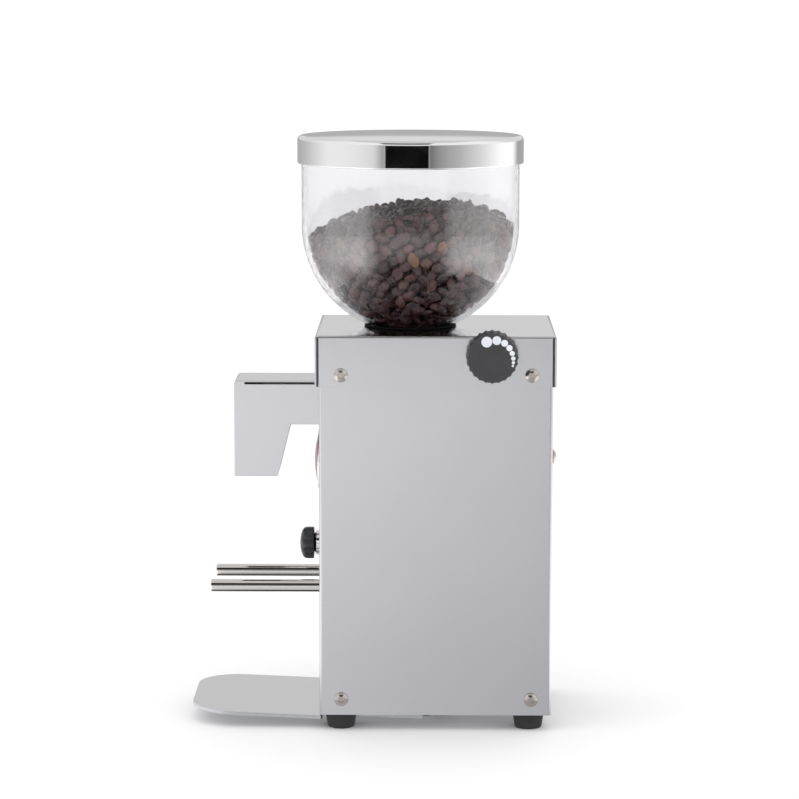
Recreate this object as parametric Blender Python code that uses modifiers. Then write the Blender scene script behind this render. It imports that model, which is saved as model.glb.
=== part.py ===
"""A burr coffee grinder: a folded steel casing with a motor, a pair of flat burrs, a bean bowl and a fork.

Metres, +Z up. -Y is the front, with the spout, the button and the fork, and +X is the side with the knob.
The origin is on the surface that the grinder stands on, under the middle of its overall outline. Heights are
drawn from a datum plane a little above that surface. The last step lifts everything until FLOOR is at Z = 0.
"""

import math

import bmesh
import bpy
from mathutils import Matrix, Vector

# ---------------------------------------------------------------- driving dimensions
GAP = 0.0003  # clearance left between pieces that touch
SHEET = 0.0010  # thickness of the folded steel sheet
BEND = 0.0022  # outside radius of a bend
FLOOR = -0.0016  # height of the surface that the feet stand on, from the datum plane

FRONT = -0.0334  # outer face of the front panel
BACK = 0.1105  # outer face of the rear flanges
BODY_X = 0.0587  # half of the casing's width
BODY_BOTTOM = 0.0085
BODY_TOP = 0.2440

COVER_X = 0.0600
COVER_FRONT = FRONT - 0.0024
COVER_BACK = BACK + 0.0018
COVER_BOTTOM = 0.2145
COVER_TOP = 0.2459

BURR_Y = 0.0223  # the motor, the burrs and the bowl share this upright axis

BOWL_RADIUS = 0.0682
BOWL_WALL = 0.0026
BOWL_CENTRE_Z = 0.3094  # centre of the bowl's round bottom
BOWL_NECK_RADIUS = 0.0255
LID_RADIUS = 0.0708
LID_BOTTOM = 0.3481
LID_CORNER = 0.3655
LID_TOP = 0.3668

KNOB_Y = FRONT + 0.1062
KNOB_Z = 0.2342
KNOB_RADIUS = 0.0160
KNOB_FACE_X = 0.0750

SPOUT_X = 0.0200  # half of the spout's width
SPOUT_REACH = 0.0546
SPOUT_TOP = 0.2129
SPOUT_BOTTOM = 0.1524
SPOUT_STEP = 0.1853  # underside of the spout's level part

FORK_X = 0.0250
FORK_Z = 0.0836
FORK_ROD_RADIUS = 0.0040
FORK_REACH = 0.0694

BADGE_Z = 0.1604
BUTTON_Z = 0.1066

TRAY_X = 0.0520  # half of the tray's width
TRAY_REACH = 0.0814
TRAY_CORNER = 0.0294
TRAY_SHEET = 0.0022
TRAY_TOP_AT_FRONT_PANEL = 0.0063
TRAY_TILT = math.radians(2.4)
TRAY_TONGUE_X = 0.0330
TRAY_TONGUE = 0.0700  # how far the tray reaches under the casing

FOOT_X = 0.0460
FOOT_Y = (FRONT + 0.0131, BACK - 0.0138)
FOOT_HEIGHT = 0.0098

SCREW_HEAD_RADIUS = 0.0044
SCREW_HEAD = 0.0025
SCREW_SHANK_RADIUS = 0.0019
SCREW_HOLE_RADIUS = 0.0023
COVER_SCREWS_Y = (FRONT + 0.0136, BACK - 0.0131)
COVER_SCREWS_Z = 0.2217
BASE_SCREWS_Y = (FRONT + 0.0136, BACK - 0.0126)
BASE_SCREWS_Z = 0.0184
REAR_SCREW_X = 0.0500
REAR_SCREW_Z = 0.1701

CHASSIS_TOP = 0.1700
CHAMBER_TOP = 0.2260
CHAMBER_RADIUS = 0.0400
CHAMBER_BORE = 0.0330
MOTOR_RADIUS = 0.0380

WHEEL_TEETH = 40
WHEEL_PITCH_RADIUS = 0.0450
WORM_PITCH_RADIUS = KNOB_Y - BURR_Y - WHEEL_PITCH_RADIUS
TOOTH_PITCH = math.tau * WHEEL_PITCH_RADIUS / WHEEL_TEETH
TOOTH_ROOT = 0.30 * TOOTH_PITCH  # half of a tooth's width at its root, and at its tip
TOOTH_TIP = 0.14 * TOOTH_PITCH
WHEEL_TWIST = 1 / (WHEEL_TEETH * WORM_PITCH_RADIUS)  # radians that a tooth leans for each metre of height

# steps round a turned piece, by its size
LARGE = 32
MEDIUM = 20
SMALL = 14

# ---------------------------------------------------------------- materials
FINISHES = {
    "stainless_sheet": ((0.72, 0.72, 0.73), 0.28, 1.0),
    "tray_steel": ((0.70, 0.70, 0.71), 0.32, 1.0),
    "chrome": ((0.86, 0.86, 0.87), 0.05, 1.0),
    "polished_rod": ((0.80, 0.79, 0.77), 0.12, 1.0),
    "screw_steel": ((0.75, 0.74, 0.72), 0.20, 1.0),
    "zinc_plate": ((0.62, 0.63, 0.64), 0.42, 1.0),
    "cast_aluminium": ((0.60, 0.61, 0.62), 0.55, 1.0),
    "burr_steel": ((0.42, 0.42, 0.43), 0.35, 1.0),
    "laminations": ((0.30, 0.30, 0.31), 0.50, 1.0),
    "copper_winding": ((0.60, 0.27, 0.12), 0.38, 1.0),
    "brass": ((0.72, 0.56, 0.27), 0.35, 1.0),
    "clear_bowl": ((0.93, 0.94, 0.95), 0.04, 0.0),
    "black_plastic": ((0.030, 0.030, 0.032), 0.45, 0.0),
    "black_rubber": ((0.035, 0.034, 0.034), 0.75, 0.0),
    "grey_plastic": ((0.55, 0.56, 0.58), 0.55, 0.0),
    "red_enamel": ((0.55, 0.02, 0.03), 0.22, 0.0),
}
MATERIALS = {}


def make_material(name, colour, roughness, metallic):
    made = bpy.data.materials.new(name)
    made.use_nodes = True
    shader = made.node_tree.nodes["Principled BSDF"]
    shader.inputs["Base Color"].default_value = (*colour, 1.0)
    shader.inputs["Roughness"].default_value = roughness
    shader.inputs["Metallic"].default_value = metallic
    if name == "clear_bowl":
        shader.inputs["Transmission Weight"].default_value = 1.0
    return made


# ---------------------------------------------------------------- modelling helpers
AXIS_TURNS = {
    "+X": Matrix.Rotation(math.radians(90), 4, "Y"),
    "-X": Matrix.Rotation(math.radians(-90), 4, "Y"),
    "+Y": Matrix.Rotation(math.radians(-90), 4, "X"),
    "-Y": Matrix.Rotation(math.radians(90), 4, "X"),
    "+Z": Matrix.Identity(4),
}


def collection(name):
    made = bpy.data.collections.new(name)
    bpy.context.scene.collection.children.link(made)
    return made


def add_object(name, mesh, finish):
    """Puts a mesh in the grinder's collection, or with no finish in the cutters' one."""
    obj = bpy.data.objects.new(name, mesh)
    if finish is None:
        CUTTERS.objects.link(obj)
        obj.hide_render = True
        obj.display_type = "WIRE"
    else:
        GRINDER.objects.link(obj)
        mesh.materials.append(MATERIALS[finish])
    return obj


def mesh_of(name, build):
    """A mesh that the given function fills through bmesh."""
    mesh = bpy.data.meshes.new(name)
    work = bmesh.new()
    build(work)
    work.to_mesh(mesh)
    work.free()
    return mesh


def box(name, low, high, finish, bevel=0.0):
    """A box between two corners."""
    low, high = Vector(low), Vector(high)

    def build(work):
        bmesh.ops.create_cube(work, size=1.0)
        bmesh.ops.scale(work, vec=high - low, verts=work.verts)
        bmesh.ops.translate(work, vec=(low + high) / 2, verts=work.verts)

    obj = add_object(name, mesh_of(name, build), finish)
    if bevel:
        round_edges(obj, bevel)
    return obj


def cylinder(name, radius, start, axis, length, finish, sides=24):
    """A cylinder of this length from the start point along an axis."""

    def build(work):
        size = {"segments": sides, "radius1": radius, "radius2": radius, "depth": length}
        bmesh.ops.create_cone(work, cap_ends=True, **size)
        bmesh.ops.translate(work, vec=(0, 0, length / 2), verts=work.verts)

    obj = add_object(name, mesh_of(name, build), finish)
    obj.matrix_world = Matrix.Translation(start) @ AXIS_TURNS[axis]
    shade(obj)
    return obj


def shade(obj):
    obj.data.shade_smooth()
    obj.data.set_sharp_from_angle(angle=math.radians(35))


def round_edges(obj, width, segments=2, angle=50):
    bevel = obj.modifiers.new("round_edges", "BEVEL")
    bevel.width = width
    bevel.segments = segments
    bevel.limit_method = "ANGLE"
    bevel.angle_limit = math.radians(angle)
    return bevel


def turned(name, profile, origin, axis, finish, steps=MEDIUM):
    """A turned piece. The profile is (radius, height) pairs that run down the outer side."""
    closed = profile[0][0] > 1e-6 or profile[-1][0] > 1e-6

    def build(work):
        points = [work.verts.new((radius, 0, height)) for radius, height in profile]
        for first, second in zip(points, points[1:]):
            work.edges.new((first, second))
        if closed:
            work.edges.new((points[-1], points[0]))

    obj = add_object(name, mesh_of(name, build), finish)
    screw = obj.modifiers.new("turn", "SCREW")
    screw.steps = screw.render_steps = steps
    screw.use_merge_vertices = True
    screw.merge_threshold = 0.00001
    screw.use_smooth_shade = True
    obj.matrix_world = Matrix.Translation(origin) @ AXIS_TURNS[axis]
    return obj


def arc(centre, radius, start, end, count):
    """Points on an arc, with both ends, from one angle in degrees to another."""
    turns = [math.radians(start + (end - start) * step / count) for step in range(count + 1)]
    return [(centre[0] + radius * math.cos(a), centre[1] + radius * math.sin(a)) for a in turns]


def filleted(corners, steps=4):
    """An outline from (x, y, radius) corners, each rounded by its own radius."""
    outline = []
    for index, (x, y, radius) in enumerate(corners):
        here = Vector((x, y))
        if not radius:
            outline.append(here)
            continue
        before = (Vector(corners[index - 1][:2]) - here).normalized()
        after = (Vector(corners[(index + 1) % len(corners)][:2]) - here).normalized()
        half = before.angle(after) / 2
        centre = here + (before + after).normalized() * radius / math.sin(half)
        start = here + before * radius / math.tan(half) - centre
        end = here + after * radius / math.tan(half) - centre
        swing = start.angle_signed(end)
        for step in range(steps + 1):
            turn = Matrix.Rotation(-swing * step / steps, 2)
            outline.append(centre + turn @ start)
    return [(point.x, point.y) for point in outline]


OUTLINE_PLANES = {
    # how an outline drawn on X and Y is stood up: the plane's two axes, then the extrusion's
    "XY": Matrix.Identity(4),
    "YZ": Matrix(((0, 0, 1, 0), (1, 0, 0, 0), (0, 1, 0, 0), (0, 0, 0, 1))),
    "XZ": Matrix(((1, 0, 0, 0), (0, 0, -1, 0), (0, 1, 0, 0), (0, 0, 0, 1))),
}


def extruded(name, outline, plane, low, high, finish, holes=()):
    """A flat outline, made thick between two heights on the axis across its plane."""
    curve = bpy.data.curves.new(name, "CURVE")
    curve.dimensions = "2D"
    curve.fill_mode = "BOTH"
    curve.extrude = (high - low) / 2
    for loop in (outline, *holes):
        spline = curve.splines.new("POLY")
        spline.points.add(len(loop) - 1)
        for point, (x, y) in zip(spline.points, loop):
            point.co = (x, y, 0, 1)
        spline.use_cyclic_u = True
    drawn = bpy.data.objects.new(name + "_outline", curve)
    bpy.context.scene.collection.objects.link(drawn)
    stand = OUTLINE_PLANES[plane]
    middle = stand.to_3x3() @ Vector((0, 0, (low + high) / 2))
    drawn.matrix_world = Matrix.Translation(middle) @ stand
    mesh = solid_mesh(drawn)
    matrix = drawn.matrix_world.copy()
    bpy.data.objects.remove(drawn)
    obj = add_object(name, mesh, finish)
    obj.matrix_world = matrix
    return obj


def solid_mesh(obj):
    """The evaluated mesh of an object, with its loose caps welded on."""
    bpy.context.view_layer.update()
    evaluated = obj.evaluated_get(bpy.context.evaluated_depsgraph_get())
    mesh = bpy.data.meshes.new_from_object(evaluated)
    work = bmesh.new()
    work.from_mesh(mesh)
    bmesh.ops.remove_doubles(work, verts=work.verts, dist=0.00001)
    bmesh.ops.recalc_face_normals(work, faces=work.faces)
    work.to_mesh(mesh)
    work.free()
    return mesh


def boolean(obj, other, operation):
    modifier = obj.modifiers.new(operation.lower(), "BOOLEAN")
    modifier.operation = operation
    modifier.object = other


def cut(obj, *cutters):
    for cutter in cutters:
        boolean(obj, cutter, "DIFFERENCE")


def join(obj, *others):
    for other in others:
        boolean(obj, other, "UNION")


def hole(name, radius, start, axis, length, sides=12):
    return cylinder(name + "_hole", radius, start, axis, length, None, sides=sides)


def pocket(name, low, high):
    return box(name + "_pocket", low, high, None)


def frozen(obj):
    """Replaces an object by its finished mesh, so that copies of it can share that mesh."""
    mesh = solid_mesh(obj)
    obj.modifiers.clear()
    obj.data = mesh
    return obj


def joint_empty(name, location):
    """An empty on a joint's axis, which the moving pieces are parented to."""
    empty = bpy.data.objects.new(name, None)
    GRINDER.objects.link(empty)
    empty.location = location
    empty.empty_display_size = 0.01
    bpy.context.view_layer.update()
    return empty


def attach(empty, *pieces):
    """Parents pieces to an empty and leaves them where they are."""
    for piece in pieces:
        piece.parent = empty
        piece.matrix_parent_inverse = empty.matrix_world.inverted()


# ---------------------------------------------------------------- casing
def side_hole(name, y, z):
    """A hole right across the casing, for the screws of both sides."""
    return hole(name, SCREW_HOLE_RADIUS, (-0.07, y, z), "+X", 0.14)


def body_wrap():
    """The front and both sides of the casing, folded from one sheet, with a flange at each rear corner."""
    flange_x = BODY_X - 0.0160
    path = (
        (-flange_x, BACK),
        (-BODY_X, BACK),
        (-BODY_X, FRONT),
        (BODY_X, FRONT),
        (BODY_X, BACK),
        (flange_x, BACK),
    )

    def build(work):
        points = [work.verts.new((x, y, BODY_BOTTOM)) for x, y in path]
        edges = [work.edges.new(pair) for pair in zip(points, points[1:])]
        raised = bmesh.ops.extrude_edge_only(work, edges=edges)["geom"]
        lifted = [item for item in raised if isinstance(item, bmesh.types.BMVert)]
        bmesh.ops.translate(work, vec=(0, 0, BODY_TOP - BODY_BOTTOM), verts=lifted)
        bmesh.ops.recalc_face_normals(work, faces=work.faces)

    wrap = add_object("body_wrap", mesh_of("body_wrap", build), "stainless_sheet")
    round_edges(wrap, BEND, segments=3, angle=60)
    thicken(wrap, SHEET)
    cut(
        wrap,
        pocket("outlet", (-0.0150, FRONT - 0.01, 0.1875), (0.0150, FRONT + 0.01, 0.2085)),
        hole("button_barrel", 0.0052, (0, FRONT - 0.01, BUTTON_Z), "+Y", 0.02),
        hole("badge_stud", 0.0024, (0, FRONT - 0.01, BADGE_Z), "+Y", 0.02),
    )
    for side in (-1, 1):
        rod_at = (side * FORK_X, FRONT - 0.01, FORK_Z)
        cut(wrap, hole("fork_rod", FORK_ROD_RADIUS + GAP, rod_at, "+Y", 0.02))
        screw_at = (side * REAR_SCREW_X, BACK - 0.005, REAR_SCREW_Z)
        cut(wrap, hole("rear_flange", SCREW_HOLE_RADIUS, screw_at, "+Y", 0.01))
    low = (BODY_X - 0.005, KNOB_Y - 0.005, KNOB_Z - 0.005)
    cut(wrap, pocket("worm_shaft", low, (BODY_X + 0.005, KNOB_Y + 0.005, BODY_TOP + 0.005)))
    for y in COVER_SCREWS_Y:
        cut(wrap, side_hole("wrap_top", y, COVER_SCREWS_Z))
    for y in BASE_SCREWS_Y:
        cut(wrap, side_hole("wrap_bottom", y, BASE_SCREWS_Z))


def thicken(obj, thickness):
    """Gives an open sheet its thickness, inward from the drawn surface."""
    solid = obj.modifiers.new("thickness", "SOLIDIFY")
    solid.thickness = thickness
    solid.offset = -1.0
    solid.use_even_offset = True


def rear_panel():
    """The plate that closes the back, behind the rear flanges, with its switch and inlet openings."""
    y = BACK - SHEET - GAP
    low = (-0.0565, y - SHEET, BODY_BOTTOM + 0.0019)
    high = (0.0565, y, 0.2435)
    panel = box("rear_panel", low, high, "stainless_sheet")
    for side in (-1, 1):
        at = (side * REAR_SCREW_X, y - 0.005, REAR_SCREW_Z)
        cut(panel, hole("rear_panel", SCREW_HOLE_RADIUS, at, "+Y", 0.01))
    inlet = pocket("inlet", (-0.0142, y - 0.005, 0.0342), (0.0142, y + 0.005, 0.0548))
    rocker = pocket("rocker", (-0.0112, y - 0.005, 0.0672), (0.0112, y + 0.005, 0.0828))
    cut(panel, inlet, rocker)
    for row in range(5):
        z = 0.1100 + row * 0.0090
        slot = pocket("vent", (-0.0280, y - 0.005, z), (0.0280, y + 0.005, z + 0.0032))
        cut(panel, slot)


def base_plate():
    """The floor of the casing: a sheet with its two sides folded up for the base screws."""
    half = BODY_X - SHEET - 2 * GAP
    rise = 0.0300
    corners = [(-half, BODY_BOTTOM, BEND), (half, BODY_BOTTOM, BEND), (half, rise, 0)]
    corners += [(half - SHEET, rise, 0), (half - SHEET, BODY_BOTTOM + SHEET, BEND - SHEET)]
    corners += [(SHEET - half, BODY_BOTTOM + SHEET, BEND - SHEET), (SHEET - half, rise, 0)]
    corners += [(-half, rise, 0)]
    low = -(BACK - 2 * SHEET - 3 * GAP)
    high = -(FRONT + SHEET + 2 * GAP)
    plate = extruded("base_plate", filleted(corners), "XZ", low, high, "stainless_sheet")
    for y in BASE_SCREWS_Y:
        cut(plate, side_hole("base_flange", y, BASE_SCREWS_Z))
    for index in range(5):
        x = -0.0240 + index * 0.0120
        low = (x - 0.0020, BURR_Y - 0.0180, 0.0)
        cut(plate, pocket("air", low, (x + 0.0020, BURR_Y + 0.0180, 0.02)))


def top_cover():
    """The cap: a folded lid with flanges all round, a hole for the bowl and a notch for the knob."""

    def build(work):
        bmesh.ops.create_cube(work, size=1.0)
        under = [face for face in work.faces if face.normal.z < -0.5]
        bmesh.ops.delete(work, geom=under, context="FACES_ONLY")
        size = (2 * COVER_X, COVER_BACK - COVER_FRONT, COVER_TOP - COVER_BOTTOM)
        bmesh.ops.scale(work, vec=size, verts=work.verts)
        middle = (0, (COVER_FRONT + COVER_BACK) / 2, (COVER_TOP + COVER_BOTTOM) / 2)
        bmesh.ops.translate(work, vec=middle, verts=work.verts)

    cover = add_object("top_cover", mesh_of("top_cover", build), "stainless_sheet")
    round_edges(cover, 0.0018, segments=2, angle=60)
    thicken(cover, SHEET)
    throat = hole("bowl_neck", BOWL_NECK_RADIUS + 0.0010, (0, BURR_Y, 0.235), "+Z", 0.02, sides=LARGE)
    half = 0.0060
    notch = [(KNOB_Y - 0.0100, COVER_BOTTOM - 0.01, 0), (KNOB_Y - 0.0100, COVER_BOTTOM, 0)]
    notch += [(KNOB_Y - half, COVER_BOTTOM, 0.0035), (KNOB_Y - half, KNOB_Z + 0.006, 0.0059)]
    notch += [(KNOB_Y + half, KNOB_Z + 0.006, 0.0059), (KNOB_Y + half, COVER_BOTTOM, 0.0035)]
    notch += [(KNOB_Y + 0.0100, COVER_BOTTOM, 0), (KNOB_Y + 0.0100, COVER_BOTTOM - 0.01, 0)]
    slot = extruded("knob_notch", filleted(notch), "YZ", COVER_X - 0.008, COVER_X + 0.005, None)
    cut(cover, throat, slot)
    for y in COVER_SCREWS_Y:
        cut(cover, side_hole("cover", y, COVER_SCREWS_Z))


def button_head_screw(name, location, axis, mesh=None):
    """A round-headed screw with a hexagon socket. Later copies share the first one's mesh."""
    if mesh is None:
        rim = 0.0007
        rise = SCREW_HEAD - rim
        sphere = (SCREW_HEAD_RADIUS**2 + rise**2) / (2 * rise)
        edge = math.degrees(math.acos(SCREW_HEAD_RADIUS / sphere))
        dome = arc((0, SCREW_HEAD - sphere), sphere, 90, edge, 3)
        profile = [(0, SCREW_HEAD), *dome[1:], (SCREW_HEAD_RADIUS, GAP)]
        profile += [(SCREW_SHANK_RADIUS, GAP), (SCREW_SHANK_RADIUS, -0.0080), (0, -0.0080)]
        screw = turned(name, profile, (0, 0, 0), "+Z", "screw_steel", steps=12)
        cut(screw, hole("hex_socket", 0.0017, (0, 0, SCREW_HEAD - 0.0013), "+Z", 0.004, sides=6))
        frozen(screw)
    else:
        screw = bpy.data.objects.new(name, mesh)
        GRINDER.objects.link(screw)
    screw.matrix_world = Matrix.Translation(location) @ AXIS_TURNS[axis]
    return screw


def casing_screws():
    """The screws of the cap, the base and the rear panel."""
    ends = {"front": 0, "rear": 1}
    sides = {"left": (-1, "-X"), "right": (1, "+X")}
    first = None
    for side, (sign, axis) in sides.items():
        for end, index in ends.items():
            at_cover = (sign * COVER_X, COVER_SCREWS_Y[index], COVER_SCREWS_Z)
            at_base = (sign * BODY_X, BASE_SCREWS_Y[index], BASE_SCREWS_Z)
            cover_screw = button_head_screw(f"cover_screw_{end}_{side}", at_cover, axis, first)
            first = cover_screw.data
            button_head_screw(f"base_screw_{end}_{side}", at_base, axis, first)
        at_rear = (sign * REAR_SCREW_X, BACK, REAR_SCREW_Z)
        button_head_screw(f"rear_screw_{side}", at_rear, "+Y", first)


def feet():
    """Four tapered rubber feet, each with a recess for its screw."""
    profile = [(0, FOOT_HEIGHT), (0.0098, FOOT_HEIGHT), (0.0084, 0.0008), (0.0076, 0)]
    profile += [(0.0035, 0), (0.0035, 0.0030), (0, 0.0030)]
    mesh = None
    for end, y in zip(("front", "rear"), FOOT_Y):
        for side, x in (("left", -FOOT_X), ("right", FOOT_X)):
            name = f"foot_{end}_{side}"
            if mesh is None:
                foot = frozen(turned(name, profile, (x, y, FLOOR), "+Z", "black_rubber", steps=MEDIUM))
                mesh = foot.data
            else:
                foot = bpy.data.objects.new(name, mesh)
                GRINDER.objects.link(foot)
                foot.location = (x, y, FLOOR)


# ---------------------------------------------------------------- front: spout, badge, button, fork, tray
def spout_cover():
    """The folded cover of the spout: a level box that turns down into a snout, open below and behind."""
    nose = FRONT - SPOUT_REACH
    snout_back = FRONT - 0.0274
    heel = FRONT - 0.0192
    rear = FRONT - GAP
    shape = [(rear, SPOUT_TOP, 0), (nose, SPOUT_TOP, 0.0022), (nose, SPOUT_BOTTOM, 0)]
    shape += [(snout_back, SPOUT_BOTTOM, 0), (heel, SPOUT_STEP, 0.0012), (rear, SPOUT_STEP, 0)]
    cover = extruded("spout_cover", filleted(shape, 3), "YZ", -SPOUT_X, SPOUT_X, "stainless_sheet")
    inner = SPOUT_X - SHEET
    slope = (heel - snout_back) / (SPOUT_STEP - SPOUT_BOTTOM)
    below = SPOUT_BOTTOM - 0.0100
    hollow = [(rear + 0.01, SPOUT_TOP - SHEET, 0), (nose + SHEET, SPOUT_TOP - SHEET, 0.0012)]
    hollow += [(nose + SHEET, below, 0), (snout_back - slope * 0.0100 - 0.0011, below, 0)]
    hollow += [(heel - 0.0008, SPOUT_STEP + SHEET, 0), (rear + 0.01, SPOUT_STEP + SHEET, 0)]
    cavity = extruded("spout_cavity", filleted(hollow, 3), "YZ", -inner, inner, None)
    cut(cover, cavity)
    for side in (-1, 1):
        across = sorted((side * (inner - 0.0004), side * (SPOUT_X + 0.001)))
        low = (across[0], nose + 0.0067, SPOUT_TOP - SHEET - 0.0013)
        high = (across[1], rear + 0.001, SPOUT_TOP - SHEET)
        cut(cover, pocket("spout_slit", low, high))


def grounds_chute():
    """The plastic chute that takes the grounds from the chamber, through the front panel, down the snout."""
    rear = BURR_Y - CHAMBER_RADIUS - 0.0060 - GAP
    tip = FRONT - 0.0500
    roof = 0.2075
    shape = [(rear, roof, 0), (tip + 0.012, roof, 0.004), (tip, roof - 0.016, 0.004)]
    shape += [(tip, 0.1640, 0), (FRONT - 0.0300, 0.1640, 0), (FRONT - 0.0245, 0.1885, 0)]
    shape += [(rear, 0.1885, 0)]
    chute = extruded("grounds_chute", filleted(shape, 3), "YZ", -0.0145, 0.0145, "black_plastic")
    wall = 0.0013
    bore = [(rear + 0.01, roof - wall, 0), (tip + 0.0125, roof - wall, 0.003)]
    bore += [(tip + wall, roof - 0.0163, 0.003), (tip + wall, 0.1600, 0), (FRONT - 0.0324, 0.1600, 0)]
    bore += [(FRONT - 0.0258, 0.1885 + wall, 0), (rear + 0.01, 0.1885 + wall, 0)]
    cut(chute, extruded("chute_bore", filleted(bore, 3), "YZ", -0.0132, 0.0132, None))


def badge():
    """A plain round badge on the front panel: a steel dish with a domed red disc in it."""
    out = FRONT - GAP
    dish = [(0, 0.0009), (0.0170, 0.0009), (0.0172, 0.0022), (0.0182, 0.0022), (0.0190, 0.0014)]
    dish += [(0.0190, 0), (0.0020, 0), (0.0020, -0.0040), (0, -0.0040)]
    turned("badge_rim", dish, (0, out, BADGE_Z), "-Y", "chrome", steps=MEDIUM)
    height = 0.0044
    radius = 0.0166
    foot = 0.0009 + GAP
    dome = height - foot - 0.0008
    sphere = (radius**2 + dome**2) / (2 * dome)
    rise = [(r, height - sphere + math.sqrt(sphere**2 - r**2)) for r in (0.0, 0.0042, 0.0083, 0.0125)]
    disc = rise + [(radius, height - dome), (radius, foot), (0, foot)]
    turned("badge_disc", disc, (0, out, BADGE_Z), "-Y", "red_enamel", steps=MEDIUM)


def start_button():
    """The fluted push button that a filter holder presses, its steel collar and the switch behind it."""
    collar = [(0.0078, 0.0033), (0.0078, 0.0003), (0.0049, 0.0003), (0.0049, -0.0040)]
    collar += [(0.0033, -0.0040), (0.0033, 0.0009), (0.0072, 0.0009), (0.0072, 0.0039)]
    collar += [(0.0074, 0.0039)]
    turned("button_collar", collar, (0, FRONT, BUTTON_Z), "-Y", "chrome", steps=MEDIUM)

    stem = [(0, 0.0142), (0.0030, 0.01405), (0.0058, 0.0135), (0.0082, 0.0125), (0.0098, 0.0112)]
    stem += [(0.0102, 0.0108), (0.0102, 0.0066), (0.0100, 0.0053), (0.0084, 0.0053)]
    stem += [(0.0084, 0.0083), (0.0050, 0.0083), (0.0050, 0.0053), (0.0069, 0.0042)]
    stem += [(0.0030, 0.0042), (0.0030, -0.0034), (0, -0.0034)]
    button = turned("start_button", stem, (0, FRONT, BUTTON_Z), "-Y", "black_plastic", steps=MEDIUM)
    frozen(button)
    for index in range(9):
        turn = math.tau * (index + 0.5) / 9
        x = 0.0114 * math.cos(turn)
        z = BUTTON_Z + 0.0114 * math.sin(turn)
        at = (x, FRONT - 0.0064, z)
        cut(button, hole("flute", 0.0022, at, "-Y", 0.01, sides=8))
    attach(joint_empty("button_axis", (0, FRONT, BUTTON_Z)), button)

    rear = FRONT + 0.0069
    low = (-0.0100, rear, BUTTON_Z - 0.0050)
    switch = box("start_switch", low, (0.0100, rear + 0.0090, BUTTON_Z + 0.0050), "black_plastic")
    tip = (0, rear - 0.0001 + 0.0010, BUTTON_Z)
    join(switch, cylinder("switch_tip", 0.0018, tip, "-Y", 0.0012, None, sides=10))
    for side in (-1, 0, 1):
        low = (side * 0.0070 - 0.0014, rear + 0.0040, BUTTON_Z - 0.0090)
        join(switch, box("switch_tag", low, (low[0] + 0.0028, rear + 0.0048, BUTTON_Z - 0.0045), None))


def fork():
    """Two round rods that carry the filter holder, held in a clamp bar inside the front panel."""
    bar_front = FRONT + SHEET + GAP
    bar = box(
        "fork_clamp",
        (-0.0360, bar_front, FORK_Z - 0.0070),
        (0.0360, bar_front + 0.0100, FORK_Z + 0.0070),
        "zinc_plate",
        bevel=0.0008,
    )
    for side, x in (("left", -FORK_X), ("right", FORK_X)):
        at = (x, bar_front - 0.005, FORK_Z)
        cut(bar, hole("fork_bar", FORK_ROD_RADIUS + GAP, at, "+Y", 0.02, sides=24))
        length = FORK_REACH + SHEET + GAP + 0.0120
        rod = turned(
            f"fork_rod_{side}",
            [(0, length), (0.0034, length), (0.0040, length - 0.0006), (0.0040, 0), (0, 0)],
            (x, FRONT - FORK_REACH + length, FORK_Z),
            "-Y",
            "polished_rod",
            steps=SMALL,
        )
        frozen(rod)


def tray_point(y, lift):
    """The height at a place on the sloping tray's underside, plus a lift square to it."""
    return TRAY_TOP_AT_FRONT_PANEL - TRAY_SHEET + (FRONT - y) * math.tan(TRAY_TILT) + lift


def grounds_tray():
    """The flat tray under the fork, with a tongue that slides between rails below the base."""
    nose = -TRAY_REACH
    neck = 0.0015
    outline = [(-TRAY_X, neck, 0.001), (-TRAY_X, nose, TRAY_CORNER), (TRAY_X, nose, TRAY_CORNER)]
    outline += [(TRAY_X, neck, 0.001), (TRAY_TONGUE_X, neck, 0), (TRAY_TONGUE_X, TRAY_TONGUE, 0.004)]
    outline += [(-TRAY_TONGUE_X, TRAY_TONGUE, 0.004), (-TRAY_TONGUE_X, neck, 0)]
    tray = extruded("grounds_tray", filleted(outline, 6), "XY", -TRAY_SHEET, 0, "tray_steel")
    middle = tray.matrix_world.copy()
    hinge = Matrix.Translation((0, FRONT, TRAY_TOP_AT_FRONT_PANEL)) @ Matrix.Rotation(-TRAY_TILT, 4, "X")
    tray.matrix_world = hinge @ middle
    round_edges(tray, 0.0004, segments=1, angle=60)
    attach(joint_empty("tray_axis", (0, FRONT, TRAY_TOP_AT_FRONT_PANEL)), tray)
    for name, sign in (("left", -1), ("right", 1)):
        inner = sign * (TRAY_TONGUE_X - 0.0040)
        outer = sign * (TRAY_TONGUE_X + GAP)
        edge = outer + sign * 0.0012
        top = BODY_BOTTOM - GAP
        front_y = FRONT + 0.0030
        back_y = FRONT + 0.0640
        ledge_front = tray_point(front_y, -0.0004)
        ledge_back = tray_point(back_y, -0.0004)
        wall = [(front_y, top), (front_y, ledge_front - 0.0009)]
        wall += [(back_y, ledge_back - 0.0009), (back_y, top)]
        across = sorted((outer, edge))
        rail = extruded(f"tray_rail_{name}", wall, "YZ", across[0], across[1], "zinc_plate")
        shelf = [(front_y, ledge_front), (front_y, ledge_front - 0.0009)]
        shelf += [(back_y, ledge_back - 0.0009), (back_y, ledge_back)]
        across = sorted((inner, edge - sign * 0.0001))
        join(rail, extruded(f"tray_ledge_{name}", shelf, "YZ", across[0], across[1], None))


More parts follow.
